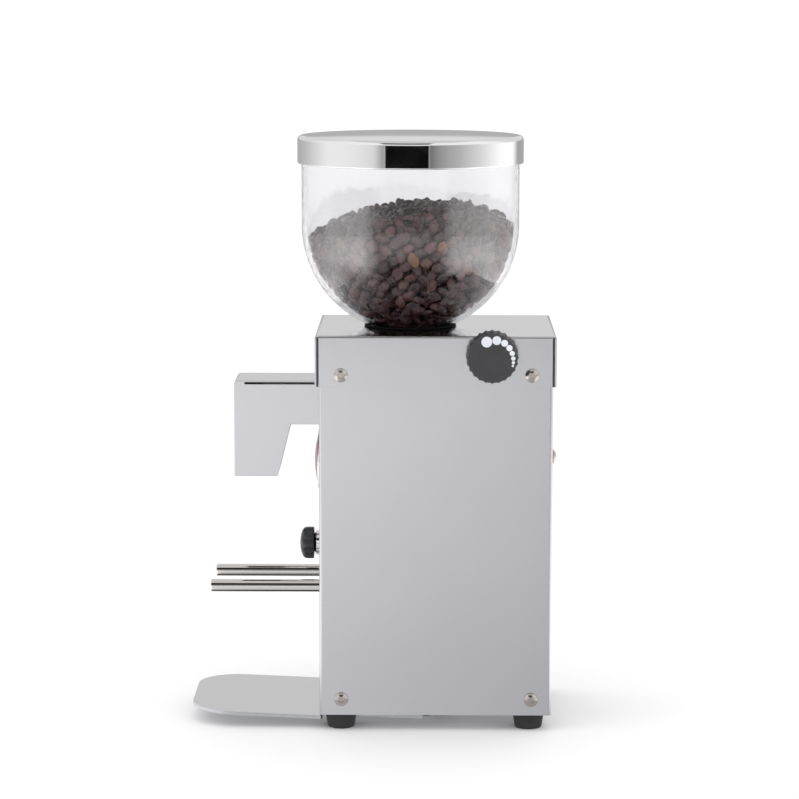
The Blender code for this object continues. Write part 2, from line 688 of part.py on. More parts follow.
# ---------------------------------------------------------------- drive: chassis, motor, chamber
def chassis_frame():
    """A bridge of folded sheet over the motor, which carries the motor below and the chamber above."""
    thick = 0.0016
    half = 0.0520
    foot = 0.0440
    bottom = BODY_BOTTOM + SHEET + GAP
    corners = [(-foot, bottom, 0), (-foot, bottom + thick, 0), (-half + thick, bottom + thick, 0.001)]
    corners += [(-half + thick, CHASSIS_TOP - thick, 0.001), (half - thick, CHASSIS_TOP - thick, 0.001)]
    corners += [(half - thick, bottom + thick, 0.001), (foot, bottom + thick, 0), (foot, bottom, 0)]
    corners += [(half, bottom, BEND), (half, CHASSIS_TOP, BEND), (-half, CHASSIS_TOP, BEND)]
    corners += [(-half, bottom, BEND)]
    frame = extruded("chassis_frame", filleted(corners, 3), "XZ", -0.0800, 0.0150, "zinc_plate")
    cut(frame, hole("spindle", 0.0120, (0, BURR_Y, CHASSIS_TOP - 0.01), "+Z", 0.02, sides=24))


def motor():
    """The motor's can and end cap with the stator, windings and bearings in them."""
    top = CHASSIS_TOP - 0.0016 - GAP
    cap_bottom = top - 0.0120
    can_bottom = 0.0580
    wall = 0.0014
    can = [(MOTOR_RADIUS, cap_bottom - GAP), (MOTOR_RADIUS, can_bottom + 0.002)]
    can += [(MOTOR_RADIUS - 0.002, can_bottom), (0.0055, can_bottom), (0.0055, can_bottom + 0.0015)]
    can += [(0.0115, can_bottom + 0.0015), (0.0115, can_bottom + 0.0090), (0.0130, can_bottom + 0.0090)]
    can += [(0.0130, can_bottom + wall), (MOTOR_RADIUS - wall, can_bottom + wall + 0.001)]
    can += [(MOTOR_RADIUS - wall, cap_bottom - GAP)]
    shell = turned("motor_can", can, (0, BURR_Y, 0), "+Z", "zinc_plate", steps=MEDIUM)
    for index in range(4):
        turn = math.tau * index / 4
        at = (0.025 * math.cos(turn), BURR_Y + 0.025 * math.sin(turn), can_bottom - 0.005)
        cut(shell, hole("can_vent", 0.0045, at, "+Z", 0.01, sides=8))
    cap = [(0.0055, top), (0.0300, top), (MOTOR_RADIUS, top - 0.0060), (MOTOR_RADIUS, cap_bottom)]
    cap += [(MOTOR_RADIUS - wall, cap_bottom), (MOTOR_RADIUS - 0.0030, top - 0.0060)]
    cap += [(0.0130, top - 0.0020), (0.0130, top - 0.0100), (0.0115, top - 0.0100)]
    cap += [(0.0115, top - 0.0016), (0.0055, top - 0.0016)]
    turned("motor_end_cap", cap, (0, BURR_Y, 0), "+Z", "cast_aluminium", steps=MEDIUM)

    lower = can_bottom + 0.0018
    upper = top - 0.0019
    ring = [(0.0112, 0.0070), (0.0112, 0), (0.0043, 0), (0.0043, 0.0070)]
    turned("bearing_lower", ring, (0, BURR_Y, lower), "+Z", "burr_steel", steps=SMALL)
    turned("bearing_upper", ring, (0, BURR_Y, upper - 0.0070), "+Z", "burr_steel", steps=SMALL)

    inside = MOTOR_RADIUS - wall - GAP
    core = [(inside, 0.1350), (inside, 0.0850), (0.0230, 0.0850), (0.0230, 0.1350)]
    turned("stator_core", core, (0, BURR_Y, 0), "+Z", "laminations", steps=MEDIUM)
    coil = arc((0.0292, 0.0), 0.0055, 90, -225, 7)
    turned("winding_lower", coil, (0, BURR_Y, 0.0850 - 0.0058), "+Z", "copper_winding", steps=MEDIUM)
    turned("winding_upper", coil, (0, BURR_Y, 0.1350 + 0.0058), "+Z", "copper_winding", steps=MEDIUM)


def rotor():
    """Everything that the motor turns: shaft, rotor, fan, lower burr and its carrier."""
    spindle = [(0, 0.1972), (0.0036, 0.1972), (0.0040, 0.1968), (0.0040, 0.1400), (0.0050, 0.1400)]
    spindle += [(0.0050, 0.0800), (0.0040, 0.0800), (0.0040, 0.0420), (0, 0.0420)]
    shaft = turned("motor_shaft", spindle, (0, BURR_Y, 0), "+Z", "burr_steel", steps=SMALL)
    body = [(0.0220, 0.1330), (0.0220, 0.0870), (0.0053, 0.0870), (0.0053, 0.1330)]
    core = turned("rotor_core", body, (0, BURR_Y, 0), "+Z", "laminations", steps=MEDIUM)

    blades = []
    for index in range(10):
        start = 36 * index
        blades += arc((0, 0), 0.0120, start, start + 22, 2)
        blades += arc((0, 0), 0.0330, start + 26, start + 32, 1)
    bore = arc((0, 0), 0.0043, 0, 330, 11)
    fan = extruded("cooling_fan", blades, "XY", 0.0440, 0.0530, "black_plastic", holes=(bore,))
    fan.matrix_world = Matrix.Translation((0, BURR_Y, 0)) @ fan.matrix_world

    carrier_profile = [(0.0270, 0.1868), (0.0270, 0.1830), (0.0100, 0.1830), (0.0085, 0.1760)]
    carrier_profile += [(0.0043, 0.1760), (0.0043, 0.1868)]
    carrier = turned(
        "lower_burr_carrier", carrier_profile, (0, BURR_Y, 0), "+Z", "cast_aluminium", steps=MEDIUM
    )
    for index in range(3):
        turn = Matrix.Rotation(math.tau * index / 3, 4, "Z")
        arm = box("sweeper_arm", (0.0250, -0.0020, 0.1832), (0.0318, 0.0020, 0.1866), None)
        arm.matrix_world = Matrix.Translation((0, BURR_Y, 0)) @ turn
        join(carrier, arm)
    lower = burr_ring("lower_burr", 0.1871, 1)
    attach(joint_empty("spindle_axis", (0, BURR_Y, 0)), shaft, core, fan, carrier, lower)


def burr_ring(name, back_z, direction):
    """A flat burr. Its back lies at back_z, and its teeth point along direction on Z."""
    teeth = 16
    rows = ((0.0265, 0.0036, 0.0044), (0.0205, 0.0034, 0.0046), (0.0140, 0.0026, 0.0036))

    def build(work):
        rings = []
        for radius, low, high in rows:
            ring = []
            for step in range(2 * teeth):
                turn = math.tau * (step + 0.5 * direction) / (2 * teeth)
                height = high if step % 2 else low
                place = (radius * math.cos(turn), radius * math.sin(turn), height)
                ring.append(work.verts.new(place))
            rings.append(ring)
        for radius in (rows[-1][0], rows[0][0]):
            ring = []
            for step in range(2 * teeth):
                turn = math.tau * (step + 0.5 * direction) / (2 * teeth)
                ring.append(work.verts.new((radius * math.cos(turn), radius * math.sin(turn), 0)))
            rings.append(ring)
        for first, second in zip(rings, rings[1:] + rings[:1]):
            for step in range(2 * teeth):
                after = (step + 1) % (2 * teeth)
                work.faces.new((first[step], first[after], second[after], second[step]))
        bmesh.ops.recalc_face_normals(work, faces=work.faces)

    burr = add_object(name, mesh_of(name, build), "burr_steel")
    flip = Matrix.Identity(4) if direction > 0 else Matrix.Rotation(math.pi, 4, "X")
    burr.matrix_world = Matrix.Translation((0, BURR_Y, back_z)) @ flip
    return burr


def grinding_chamber():
    """The cast chamber around the burrs, with its outlet to the front and an ear for the worm at the back."""
    floor = 0.1790
    base = CHASSIS_TOP + GAP
    cup = [(CHAMBER_RADIUS, CHAMBER_TOP), (CHAMBER_RADIUS, base), (0.0130, base)]
    cup += [(0.0130, floor - 0.0035), (0.0092, floor - 0.0035), (0.0092, floor), (CHAMBER_BORE, floor)]
    cup += [(CHAMBER_BORE, CHAMBER_TOP)]
    chamber = turned("grinding_chamber", cup, (0, BURR_Y, 0), "+Z", "cast_aluminium", steps=LARGE)
    nozzle_front = BURR_Y - CHAMBER_RADIUS - 0.0060
    nozzle = box("nozzle", (-0.0145, nozzle_front, 0.1820), (0.0145, BURR_Y - 0.0345, 0.2070), None)
    ear = box("worm_ear", (-0.0290, BURR_Y + 0.0340, 0.2170), (0.0290, KNOB_Y + 0.0100, 0.2230), None)
    join(chamber, nozzle, ear)
    low = (-0.0130, nozzle_front - 0.01, 0.1845)
    cut(chamber, pocket("chamber_outlet", low, (0.0130, BURR_Y - 0.02, 0.2050)))


# ---------------------------------------------------------------- grind setting: ring, carrier, worm, knob
def adjusting_ring():
    """The toothed ring nut that the worm turns. Its bore is drawn as the plain diameter of its thread."""
    tip = WHEEL_PITCH_RADIUS + 0.0016
    root = WHEEL_PITCH_RADIUS - 0.0021
    half_thick = 0.0038
    slant = WHEEL_TWIST * half_thick
    flanks = ((-TOOTH_ROOT, root), (-TOOTH_TIP, tip), (TOOTH_TIP, tip), (TOOTH_ROOT, root))
    bore = CHAMBER_BORE + 0.0002
    bottom = CHAMBER_TOP + GAP

    def build(work):
        rings = []
        for z, twist in ((KNOB_Z - half_thick, -slant), (KNOB_Z + half_thick, slant)):
            ring = []
            for tooth in range(WHEEL_TEETH):
                middle = math.tau * (tooth + 0.5) / WHEEL_TEETH + math.pi / 2 + twist
                for offset, radius in flanks:
                    turn = middle + offset / WHEEL_PITCH_RADIUS
                    ring.append(work.verts.new((radius * math.cos(turn), radius * math.sin(turn), z)))
            rings.append(ring)
        count = len(rings[0])
        for step in range(count):
            after = (step + 1) % count
            work.faces.new((rings[0][step], rings[0][after], rings[1][after], rings[1][step]))
        work.faces.new(rings[1])
        work.faces.new(list(reversed(rings[0])))

    ring = add_object("adjusting_ring", mesh_of("adjusting_ring", build), "brass")
    ring.matrix_world = Matrix.Translation((0, BURR_Y, 0))
    hub = cylinder("ring_hub", 0.0395, (0, BURR_Y, bottom), "+Z", 0.0150, None, sides=LARGE)
    thread = cylinder("ring_thread", bore, (0, BURR_Y, bottom - 0.01), "+Z", 0.04, None, sides=LARGE)
    join(ring, hub)
    cut(ring, thread)
    attach(joint_empty("ring_axis", (0, BURR_Y, KNOB_Z)), ring)


def upper_burr_carrier():
    """The sleeve that holds the upper burr and rides up and down in the ring."""
    outer = CHAMBER_BORE - 0.0006
    back = 0.1971
    sleeve = [(outer, 0.2418), (outer, back), (0.0145, back), (0.0145, back + 0.0030)]
    sleeve += [(0.0200, back + 0.0120), (0.0235, 0.2418)]
    carrier = turned("upper_burr_carrier", sleeve, (0, BURR_Y, 0), "+Z", "cast_aluminium", steps=LARGE)
    burr = burr_ring("upper_burr", back - GAP, -1)
    attach(joint_empty("burr_lift_axis", (0, BURR_Y, back)), carrier, burr)


def worm_shaft():
    """The cross shaft with the worm thread, which the knob turns."""
    start_x = -0.0300
    end_x = KNOB_FACE_X - 0.0040
    core = WORM_PITCH_RADIUS - 0.0021
    profile = [(0, end_x), (0.0029, end_x), (0.0029, 0.0150), (core, 0.0150), (core, -0.0150)]
    profile += [(0.0029, -0.0150), (0.0029, start_x), (0, start_x)]
    shaft = turned("worm_shaft", profile, (0, KNOB_Y, KNOB_Z), "+X", "brass", steps=SMALL)
    per_turn = 14
    turns = 3
    tip = WORM_PITCH_RADIUS + 0.0017
    root = core - 0.0004
    flanks = ((-TOOTH_ROOT, root), (-TOOTH_TIP, tip), (TOOTH_TIP, tip), (TOOTH_ROOT, root))

    def build(work):
        sections = []
        for step in range(turns * per_turn + 1):
            turn = math.tau * (step + 0.3) / per_turn
            middle = TOOTH_PITCH * (turn / math.tau - turns / 2)
            section = []
            for along, radius in flanks:
                y = radius * math.cos(turn)
                z = radius * math.sin(turn)
                section.append(work.verts.new((middle + along, KNOB_Y + y, KNOB_Z + z)))
            sections.append(section)
        for first, second in zip(sections, sections[1:]):
            for index in range(4):
                after = (index + 1) % 4
                work.faces.new((first[index], first[after], second[after], second[index]))
        work.faces.new(sections[0])
        work.faces.new(list(reversed(sections[-1])))
        bmesh.ops.recalc_face_normals(work, faces=work.faces)

    thread = add_object("worm_thread", mesh_of("worm_thread", build), None)
    join(shaft, thread)
    return shaft


def grind_knob():
    """The knurled knob of the grind setting."""
    rear = COVER_X + 0.0006
    depth = KNOB_FACE_X - rear
    ribs = 22
    skirt = []
    for index in range(ribs):
        middle = 360 * index / ribs
        skirt += arc((0, 0), KNOB_RADIUS, middle - 4.0, middle + 4.0, 1)
        skirt += arc((0, 0), KNOB_RADIUS - 0.0006, middle + 6.4, middle + 9.9, 1)
    knob = extruded("grind_knob", skirt, "XY", 0, depth - 0.0030, "black_plastic")
    knob.matrix_world = Matrix.Translation((rear, KNOB_Y, KNOB_Z)) @ AXIS_TURNS["+X"] @ knob.matrix_world
    face = [(0, depth), (0.0144, depth), (0.01515, depth - 0.0007), (0.01515, depth - 0.0034)]
    face += [(0, depth - 0.0034)]
    cap = turned("knob_face", face, (rear, KNOB_Y, KNOB_Z), "+X", None, steps=MEDIUM)
    join(knob, cap)
    cut(knob, hole("knob_shaft", 0.0032, (rear - 0.005, KNOB_Y, KNOB_Z), "+X", depth + 0.0015, sides=20))
    attach(joint_empty("knob_axis", (COVER_X, KNOB_Y, KNOB_Z)), knob, worm_shaft())


def worm_bracket():
    """The bracket on the chamber's ear that the worm shaft turns in."""
    foot = 0.2230 + GAP
    top = KNOB_Z + 0.0080
    outer = 0.0240
    thick = 0.0030
    corners = [(-outer, foot, 0), (outer, foot, 0), (outer, top, 0.002), (outer - thick, top, 0)]
    corners += [(outer - thick, foot + 0.0015, 0), (thick - outer, foot + 0.0015, 0)]
    corners += [(thick - outer, top, 0), (-outer, top, 0.002)]
    low = -(KNOB_Y + 0.0080)
    high = -(KNOB_Y - 0.0075)
    bracket = extruded("worm_bracket", filleted(corners, 3), "XZ", low, high, "zinc_plate")
    cut(bracket, hole("worm_bearing", 0.0032, (-0.035, KNOB_Y, KNOB_Z), "+X", 0.07, sides=20))


# ---------------------------------------------------------------- bean bowl and lid
def bean_bowl():
    """The clear bowl: an upright wall over a round bottom, with a neck that drops into the casing."""
    neck_inner = BOWL_NECK_RADIUS - BOWL_WALL
    inside = BOWL_RADIUS - BOWL_WALL
    rim = LID_CORNER - 0.0037
    shoulder = 0.0300
    neck_z = BOWL_CENTRE_Z - math.sqrt(BOWL_RADIUS**2 - shoulder**2)
    low_angle = math.degrees(math.atan2(neck_z - BOWL_CENTRE_Z, shoulder))
    inner_angle = math.degrees(-math.acos(neck_inner / inside))
    outer_wall = arc((0, BOWL_CENTRE_Z), BOWL_RADIUS, 0, low_angle, 7)
    inner_wall = arc((0, BOWL_CENTRE_Z), inside, inner_angle, 0, 7)
    profile = [(BOWL_RADIUS, rim)] + outer_wall + [(BOWL_NECK_RADIUS, neck_z)]
    profile += [(BOWL_NECK_RADIUS, 0.2434), (neck_inner, 0.2434)] + inner_wall + [(inside, rim)]
    bowl = turned("bean_bowl", profile, (0, BURR_Y, 0), "+Z", "clear_bowl", steps=LARGE)
    attach(joint_empty("bowl_axis", (0, BURR_Y, BOWL_CENTRE_Z)), bowl)


def bowl_collar():
    """The black ring on the cap that the bowl's neck stands in."""
    low = COVER_TOP + GAP
    ring = [(0.0282, low + 0.0013), (0.0288, low + 0.0007), (0.0288, low), (0.0259, low)]
    ring += [(0.0259, low + 0.0013)]
    turned("bowl_collar", ring, (0, BURR_Y, 0), "+Z", "black_plastic", steps=LARGE)


def bowl_lid():
    """The domed chrome lid with a rim that drops round the bowl."""
    wall = 0.0012
    edge = LID_RADIUS - 0.0030
    crown = 0.0013
    inner = LID_RADIUS - wall
    profile = [(0, LID_TOP), (0.030, LID_TOP - crown * 0.18), (0.055, LID_TOP - crown * 0.62)]
    profile += [(edge, LID_CORNER)] + arc((edge, LID_CORNER - 0.0030), 0.0030, 75, 0, 3)
    profile += [(LID_RADIUS, LID_BOTTOM + 0.0006), (LID_RADIUS - 0.0006, LID_BOTTOM), (inner, LID_BOTTOM)]
    profile += [(inner, LID_CORNER - 0.0034), (edge - 0.0010, LID_CORNER - 0.0022), (0, LID_TOP - wall)]
    lid = turned("bowl_lid", profile, (0, BURR_Y, 0), "+Z", "chrome", steps=LARGE)
    attach(joint_empty("lid_axis", (0, BURR_Y, LID_BOTTOM)), lid)


# ---------------------------------------------------------------- electrics
def electrics():
    """The run capacitor, the terminal block, the mains inlet and the power rocker in its frame."""
    floor = BODY_BOTTOM + SHEET + GAP
    can = [(0, 0.0480), (0.0130, 0.0480), (0.0140, 0.0470), (0.0140, 0), (0, 0)]
    turned("capacitor", can, (-0.0330, 0.0300, floor + 0.0155), "+Y", "grey_plastic", steps=MEDIUM)
    block = box("terminal_block", (0.0180, 0.0100, floor), (0.0400, 0.0500, floor + 0.0120), "grey_plastic")
    for index in range(4):
        at = (0.0290, 0.0150 + index * 0.0100, floor + 0.0060)
        cut(block, hole("terminal", 0.0022, at, "+Z", 0.01, sides=12))

    panel = BACK - SHEET - GAP
    low, high = (-0.0138, panel - 0.0200, 0.0346), (0.0138, panel + 0.0010, 0.0544)
    inlet = box("power_inlet", low, high, "black_plastic", bevel=0.0010)
    cut(inlet, pocket("inlet_socket", (-0.0112, panel - 0.0150, 0.0372), (0.0112, panel + 0.0050, 0.0518)))
    for x, z in ((-0.0070, 0.0430), (0.0070, 0.0430), (0.0, 0.0470)):
        low = (x - 0.0010, panel - 0.0160, z - 0.0020)
        join(inlet, box("inlet_pin", low, (x + 0.0010, panel - 0.0080, z + 0.0020), None))

    low, high = (-0.0108, panel - 0.0120, 0.0676), (0.0108, panel + 0.0011, 0.0824)
    frame = box("rocker_frame", low, high, "black_plastic", bevel=0.0006)
    cut(frame, pocket("rocker_well", (-0.0094, panel - 0.0100, 0.0688), (0.0094, panel + 0.0050, 0.0812)))
    axis_z = 0.0750
    tilt = math.radians(8)
    shape = [(-0.0040, -0.0030), (0.0040, -0.0030), (0.0056, 0.0012), (0.0, 0.0000), (-0.0056, 0.0012)]
    rocker = extruded("power_rocker", shape, "YZ", -0.0089, 0.0089, "black_plastic")
    lean = Matrix.Rotation(math.radians(-90) + tilt, 4, "X")
    rocker.matrix_world = Matrix.Translation((0, panel - 0.0012, axis_z)) @ lean @ rocker.matrix_world
    attach(joint_empty("rocker_axis", (0, panel - 0.0012, axis_z)), rocker)


# ---------------------------------------------------------------- assembly
for leftover in list(bpy.data.objects):
    bpy.data.objects.remove(leftover)
GRINDER = collection("burr_coffee_grinder")
CUTTERS = collection("cutters")
for finish_name, (colour, roughness, metallic) in FINISHES.items():
    MATERIALS[finish_name] = make_material(finish_name, colour, roughness, metallic)

body_wrap()
rear_panel()
base_plate()
top_cover()
casing_screws()
feet()
spout_cover()
grounds_chute()
badge()
start_button()
fork()
grounds_tray()
chassis_frame()
motor()
rotor()
grinding_chamber()
adjusting_ring()
upper_burr_carrier()
grind_knob()
worm_bracket()
bean_bowl()
bowl_collar()
bowl_lid()
electrics()

bpy.context.view_layer.update()
for piece in bpy.data.objects:
    if piece.parent is None:
        piece.location.z -= FLOOR
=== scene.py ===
"""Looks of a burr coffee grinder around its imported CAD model: camera, studio, materials and the detailed pieces.

Metres, +Z up, in the CAD model's frame: -Y is the grinder's front and +X is the side with the knob.
"""

import math
import random

import bmesh
import bpy
from mathutils import Matrix, Quaternion, Vector


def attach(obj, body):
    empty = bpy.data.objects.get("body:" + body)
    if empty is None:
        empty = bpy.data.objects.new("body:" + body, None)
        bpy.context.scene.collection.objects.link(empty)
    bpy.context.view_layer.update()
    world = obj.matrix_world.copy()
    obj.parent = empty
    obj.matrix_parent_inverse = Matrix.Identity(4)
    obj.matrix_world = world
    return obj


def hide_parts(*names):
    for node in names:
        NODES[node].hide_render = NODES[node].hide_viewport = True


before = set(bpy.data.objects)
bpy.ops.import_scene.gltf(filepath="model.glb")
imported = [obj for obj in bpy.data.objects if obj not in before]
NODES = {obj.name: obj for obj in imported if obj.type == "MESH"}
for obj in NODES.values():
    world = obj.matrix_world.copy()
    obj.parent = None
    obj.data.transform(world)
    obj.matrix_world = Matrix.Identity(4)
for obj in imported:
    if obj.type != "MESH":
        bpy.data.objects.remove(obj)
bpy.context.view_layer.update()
SCENE = bpy.context.scene

# ---------------------------------------------------------------- dimensions shared with the CAD model
GAP = 0.0003
SHEET = 0.0010
FRONT = -0.0334
BACK = 0.1105
BODY_X = 0.0587
BODY_BOTTOM = 0.0101
BODY_TOP = 0.2456
COVER_X = 0.0600
COVER_FRONT = FRONT - 0.0024
COVER_BACK = BACK + 0.0018
COVER_BOTTOM = 0.2161
COVER_TOP = 0.2475
BURR_Y = 0.0223
BOWL_RADIUS = 0.0682
BOWL_WALL = 0.0026
BOWL_CENTRE_Z = 0.3110
BOWL_NECK_RADIUS = 0.0255
LIGHT_BEANS = ((0.0610, 0.0233, 0.2905), (0.0610, 0.0430, 0.2990))
HEAP_PEAK_Y = 0.0420
HEAP_PEAK_Z = 0.3222
NECK_END = 0.2450
LID_RADIUS = 0.0708
LID_BOTTOM = 0.3497
LID_CORNER = 0.3671
LID_TOP = 0.3684
KNOB_Y = FRONT + 0.1062
KNOB_Z = 0.2358
KNOB_RADIUS = 0.0160
KNOB_FACE_X = 0.0750
SPOUT_X = 0.0200
SPOUT_REACH = 0.0546
SPOUT_TOP = 0.2145
SPOUT_BOTTOM = 0.1540
SPOUT_STEP = 0.1869
FORK_X = 0.0250
FORK_Z = 0.0852
FORK_ROD_RADIUS = 0.0040
FORK_REACH = 0.0694
BADGE_Z = 0.1620
BUTTON_Z = 0.1082
TRAY_X = 0.0520
TRAY_REACH = 0.0814
TRAY_CORNER = 0.0294
TRAY_SHEET = 0.0022
TRAY_TOP_AT_FRONT_PANEL = 0.0079
TRAY_TILT = math.radians(2.4)
TRAY_TONGUE_X = 0.0330
TRAY_TONGUE = 0.0700
FOOT_X = 0.0460
FOOT_Y = (FRONT + 0.0131, BACK - 0.0138)
FOOT_HEIGHT = 0.0098
SCREW_HEAD_RADIUS = 0.0044
SCREW_HEAD = 0.0025
SCREW_HOLE_RADIUS = 0.0023
COVER_SCREWS_Y = (FRONT + 0.0136, BACK - 0.0131)
COVER_SCREWS_Z = 0.2233
BASE_SCREWS_Y = (FRONT + 0.0136, BACK - 0.0126)
BASE_SCREWS_Z = 0.0200
REAR_SCREW_X = 0.0500
REAR_SCREW_Z = 0.1717


# ---------------------------------------------------------------- camera
def make_camera():
    data = bpy.data.cameras.new("camera")
    data.lens = 136.8
    data.sensor_width = 36.0
    camera = bpy.data.objects.new("camera", data)
    SCENE.collection.objects.link(camera)
    yaw = math.radians(0.656)
    pitch = math.radians(7.915)
    look = Vector((-math.cos(pitch) * math.cos(yaw), -math.cos(pitch) * math.sin(yaw), -math.sin(pitch)))
    camera.location = (1.9023, 0.0373, 0.4646)
    camera.rotation_mode = "QUATERNION"
    level = look.to_track_quat("-Z", "Y")
    camera.rotation_quaternion = level @ Quaternion((0, 0, 1), math.radians(0.052))
    SCENE.camera = camera


# ---------------------------------------------------------------- node helpers
class Graph:
    """Short ways to add nodes to a material's or the world's node tree."""

    def __init__(self, tree):
        self.tree = tree

    def node(self, kind, **settings):
        made = self.tree.nodes.new("ShaderNode" + kind)
        for key, value in settings.items():
            setattr(made, key, value)
        return made

    def link(self, source, target):
        self.tree.links.new(source, target)

    def feed(self, socket, value):
        if isinstance(value, bpy.types.NodeSocket):
            self.link(value, socket)
        else:
            socket.default_value = value

    def math(self, operation, first, second=0.0, third=None):
        made = self.node("Math", operation=operation)
        self.feed(made.inputs[0], first)
        self.feed(made.inputs[1], second)
        if third is not None:
            self.feed(made.inputs[2], third)
        return made.outputs[0]

    def spread(self, value, from_low, from_high, to_low=0.0, to_high=1.0, smooth=False):
        """Maps one range of a value onto another, and holds it there outside."""
        made = self.node("MapRange", interpolation_type="SMOOTHSTEP" if smooth else "LINEAR")
        self.feed(made.inputs["Value"], value)
        for name, number in zip(("From Min", "From Max", "To Min", "To Max"), (from_low, from_high, to_low, to_high)):
            self.feed(made.inputs[name], number)
        return made.outputs["Result"]

    def blend(self, factor, first, second):
        """A mix of two values."""
        made = self.node("Mix", data_type="FLOAT")
        self.feed(made.inputs[0], factor)
        self.feed(made.inputs[2], first)
        self.feed(made.inputs[3], second)
        return made.outputs[0]

    def tint(self, factor, first, second, kind="MIX"):
        """A mix of two colours."""
        made = self.node("Mix", data_type="RGBA", blend_type=kind)
        self.feed(made.inputs[0], factor)
        for socket, value in ((made.inputs[6], first), (made.inputs[7], second)):
            self.feed(socket, (*value, 1.0) if isinstance(value, tuple) else value)
        return made.outputs[2]

    def ramp(self, value, stops):
        """A curve drawn through (position, level) stops, both from 0 to 1."""
        made = self.node("ValToRGB")
        self.feed(made.inputs[0], value)
        points = made.color_ramp.elements
        for _ in range(len(stops) - 2):
            points.new(0.5)
        for point, (at, level) in zip(points, sorted(stops)):
            point.position = at
            point.color = (level, level, level, 1.0)
        return made.outputs[0]

    def place(self, scale=(1, 1, 1)):
        """Object coordinates, stretched."""
        where = self.node("TexCoord")
        mapping = self.node("Mapping")
        mapping.inputs["Scale"].default_value = scale
        self.link(where.outputs["Object"], mapping.inputs["Vector"])
        return mapping.outputs["Vector"]

    def noise(self, vector, scale, detail=3.0, roughness=0.55):
        made = self.node("TexNoise")
        self.feed(made.inputs["Vector"], vector)
        made.inputs["Scale"].default_value = scale
        made.inputs["Detail"].default_value = detail
        made.inputs["Roughness"].default_value = roughness
        return made.outputs[0]

    def bump(self, height, distance, strength=1.0):
        made = self.node("Bump")
        made.inputs["Strength"].default_value = strength
        made.inputs["Distance"].default_value = distance
        self.feed(made.inputs["Height"], height)
        return made.outputs["Normal"]


def share_of_turn(graph, x, y):
    """The direction of a point round +Z as a share of a turn: 0 and 1 are at -X, and 0.5 is at +X."""
    return graph.math("MULTIPLY_ADD", graph.math("ARCTAN2", y, x), 1 / math.tau, 0.5)


def turn_stops(levels, top=1.0):
    """(degrees from +X towards +Y, level) pairs as ramp stops, with the levels divided by the top one."""
    return [((degrees + 180) / 360, level / top) for degrees, level in levels]


# ---------------------------------------------------------------- studio
SHOWN_SKY = 1.05
SOFT_SKY = 1.222
STEEP_SKY = 1.325
# light mirrored by shiny surfaces, as (degrees from +X towards +Y, level)
RIM_LEVELS = (
    (-180, 0.44), (-150, 0.48), (-132, 0.57), (-115, 0.72), (-92, 0.94), (-72, 0.93), (-54, 0.88), (-37, 0.78),
    (-27, 0.36), (-22, 0.80), (17, 0.80), (20, 0.18), (30, 0.33), (40, 0.43), (51, 0.50), (75, 0.76), (104, 1.14),
    (127, 1.16), (140, 0.41), (180, 0.44),
)
SOFTBOX_LEVELS = (
    (-180, 0.73), (-124, 0.76), (-112, 0.92), (-34, 0.98), (-26, 0.90), (17, 0.90), (23, 0.94), (108, 1.00),
    (120, 0.78), (180, 0.73),
)
FAR_FLOOR_LEVELS = (
    (-180, 0.55), (-132, 0.75), (-115, 0.95), (-92, 1.2), (-54, 1.25), (-40, 1.15), (-28, 0.85), (26, 0.6),
    (51, 0.9), (75, 1.1), (104, 1.35), (127, 1.35), (145, 0.65), (180, 0.55),
)
NEAR_FLOOR_LEVELS = (
    (-180, 0.60), (-140, 0.75), (-119, 1.15), (-62, 1.65), (-42, 1.5), (-26, 0.8), (26, 0.65), (50, 1.15),
    (75, 1.55), (90, 1.7), (110, 1.8), (130, 1.5), (150, 0.8), (180, 0.60),
)
FRONT_FLOOR_LEVELS = ((0.0, 0.535), (0.12, 0.565), (0.30, 0.64), (0.57, 0.69), (0.90, 0.87), (1.0, 0.93))


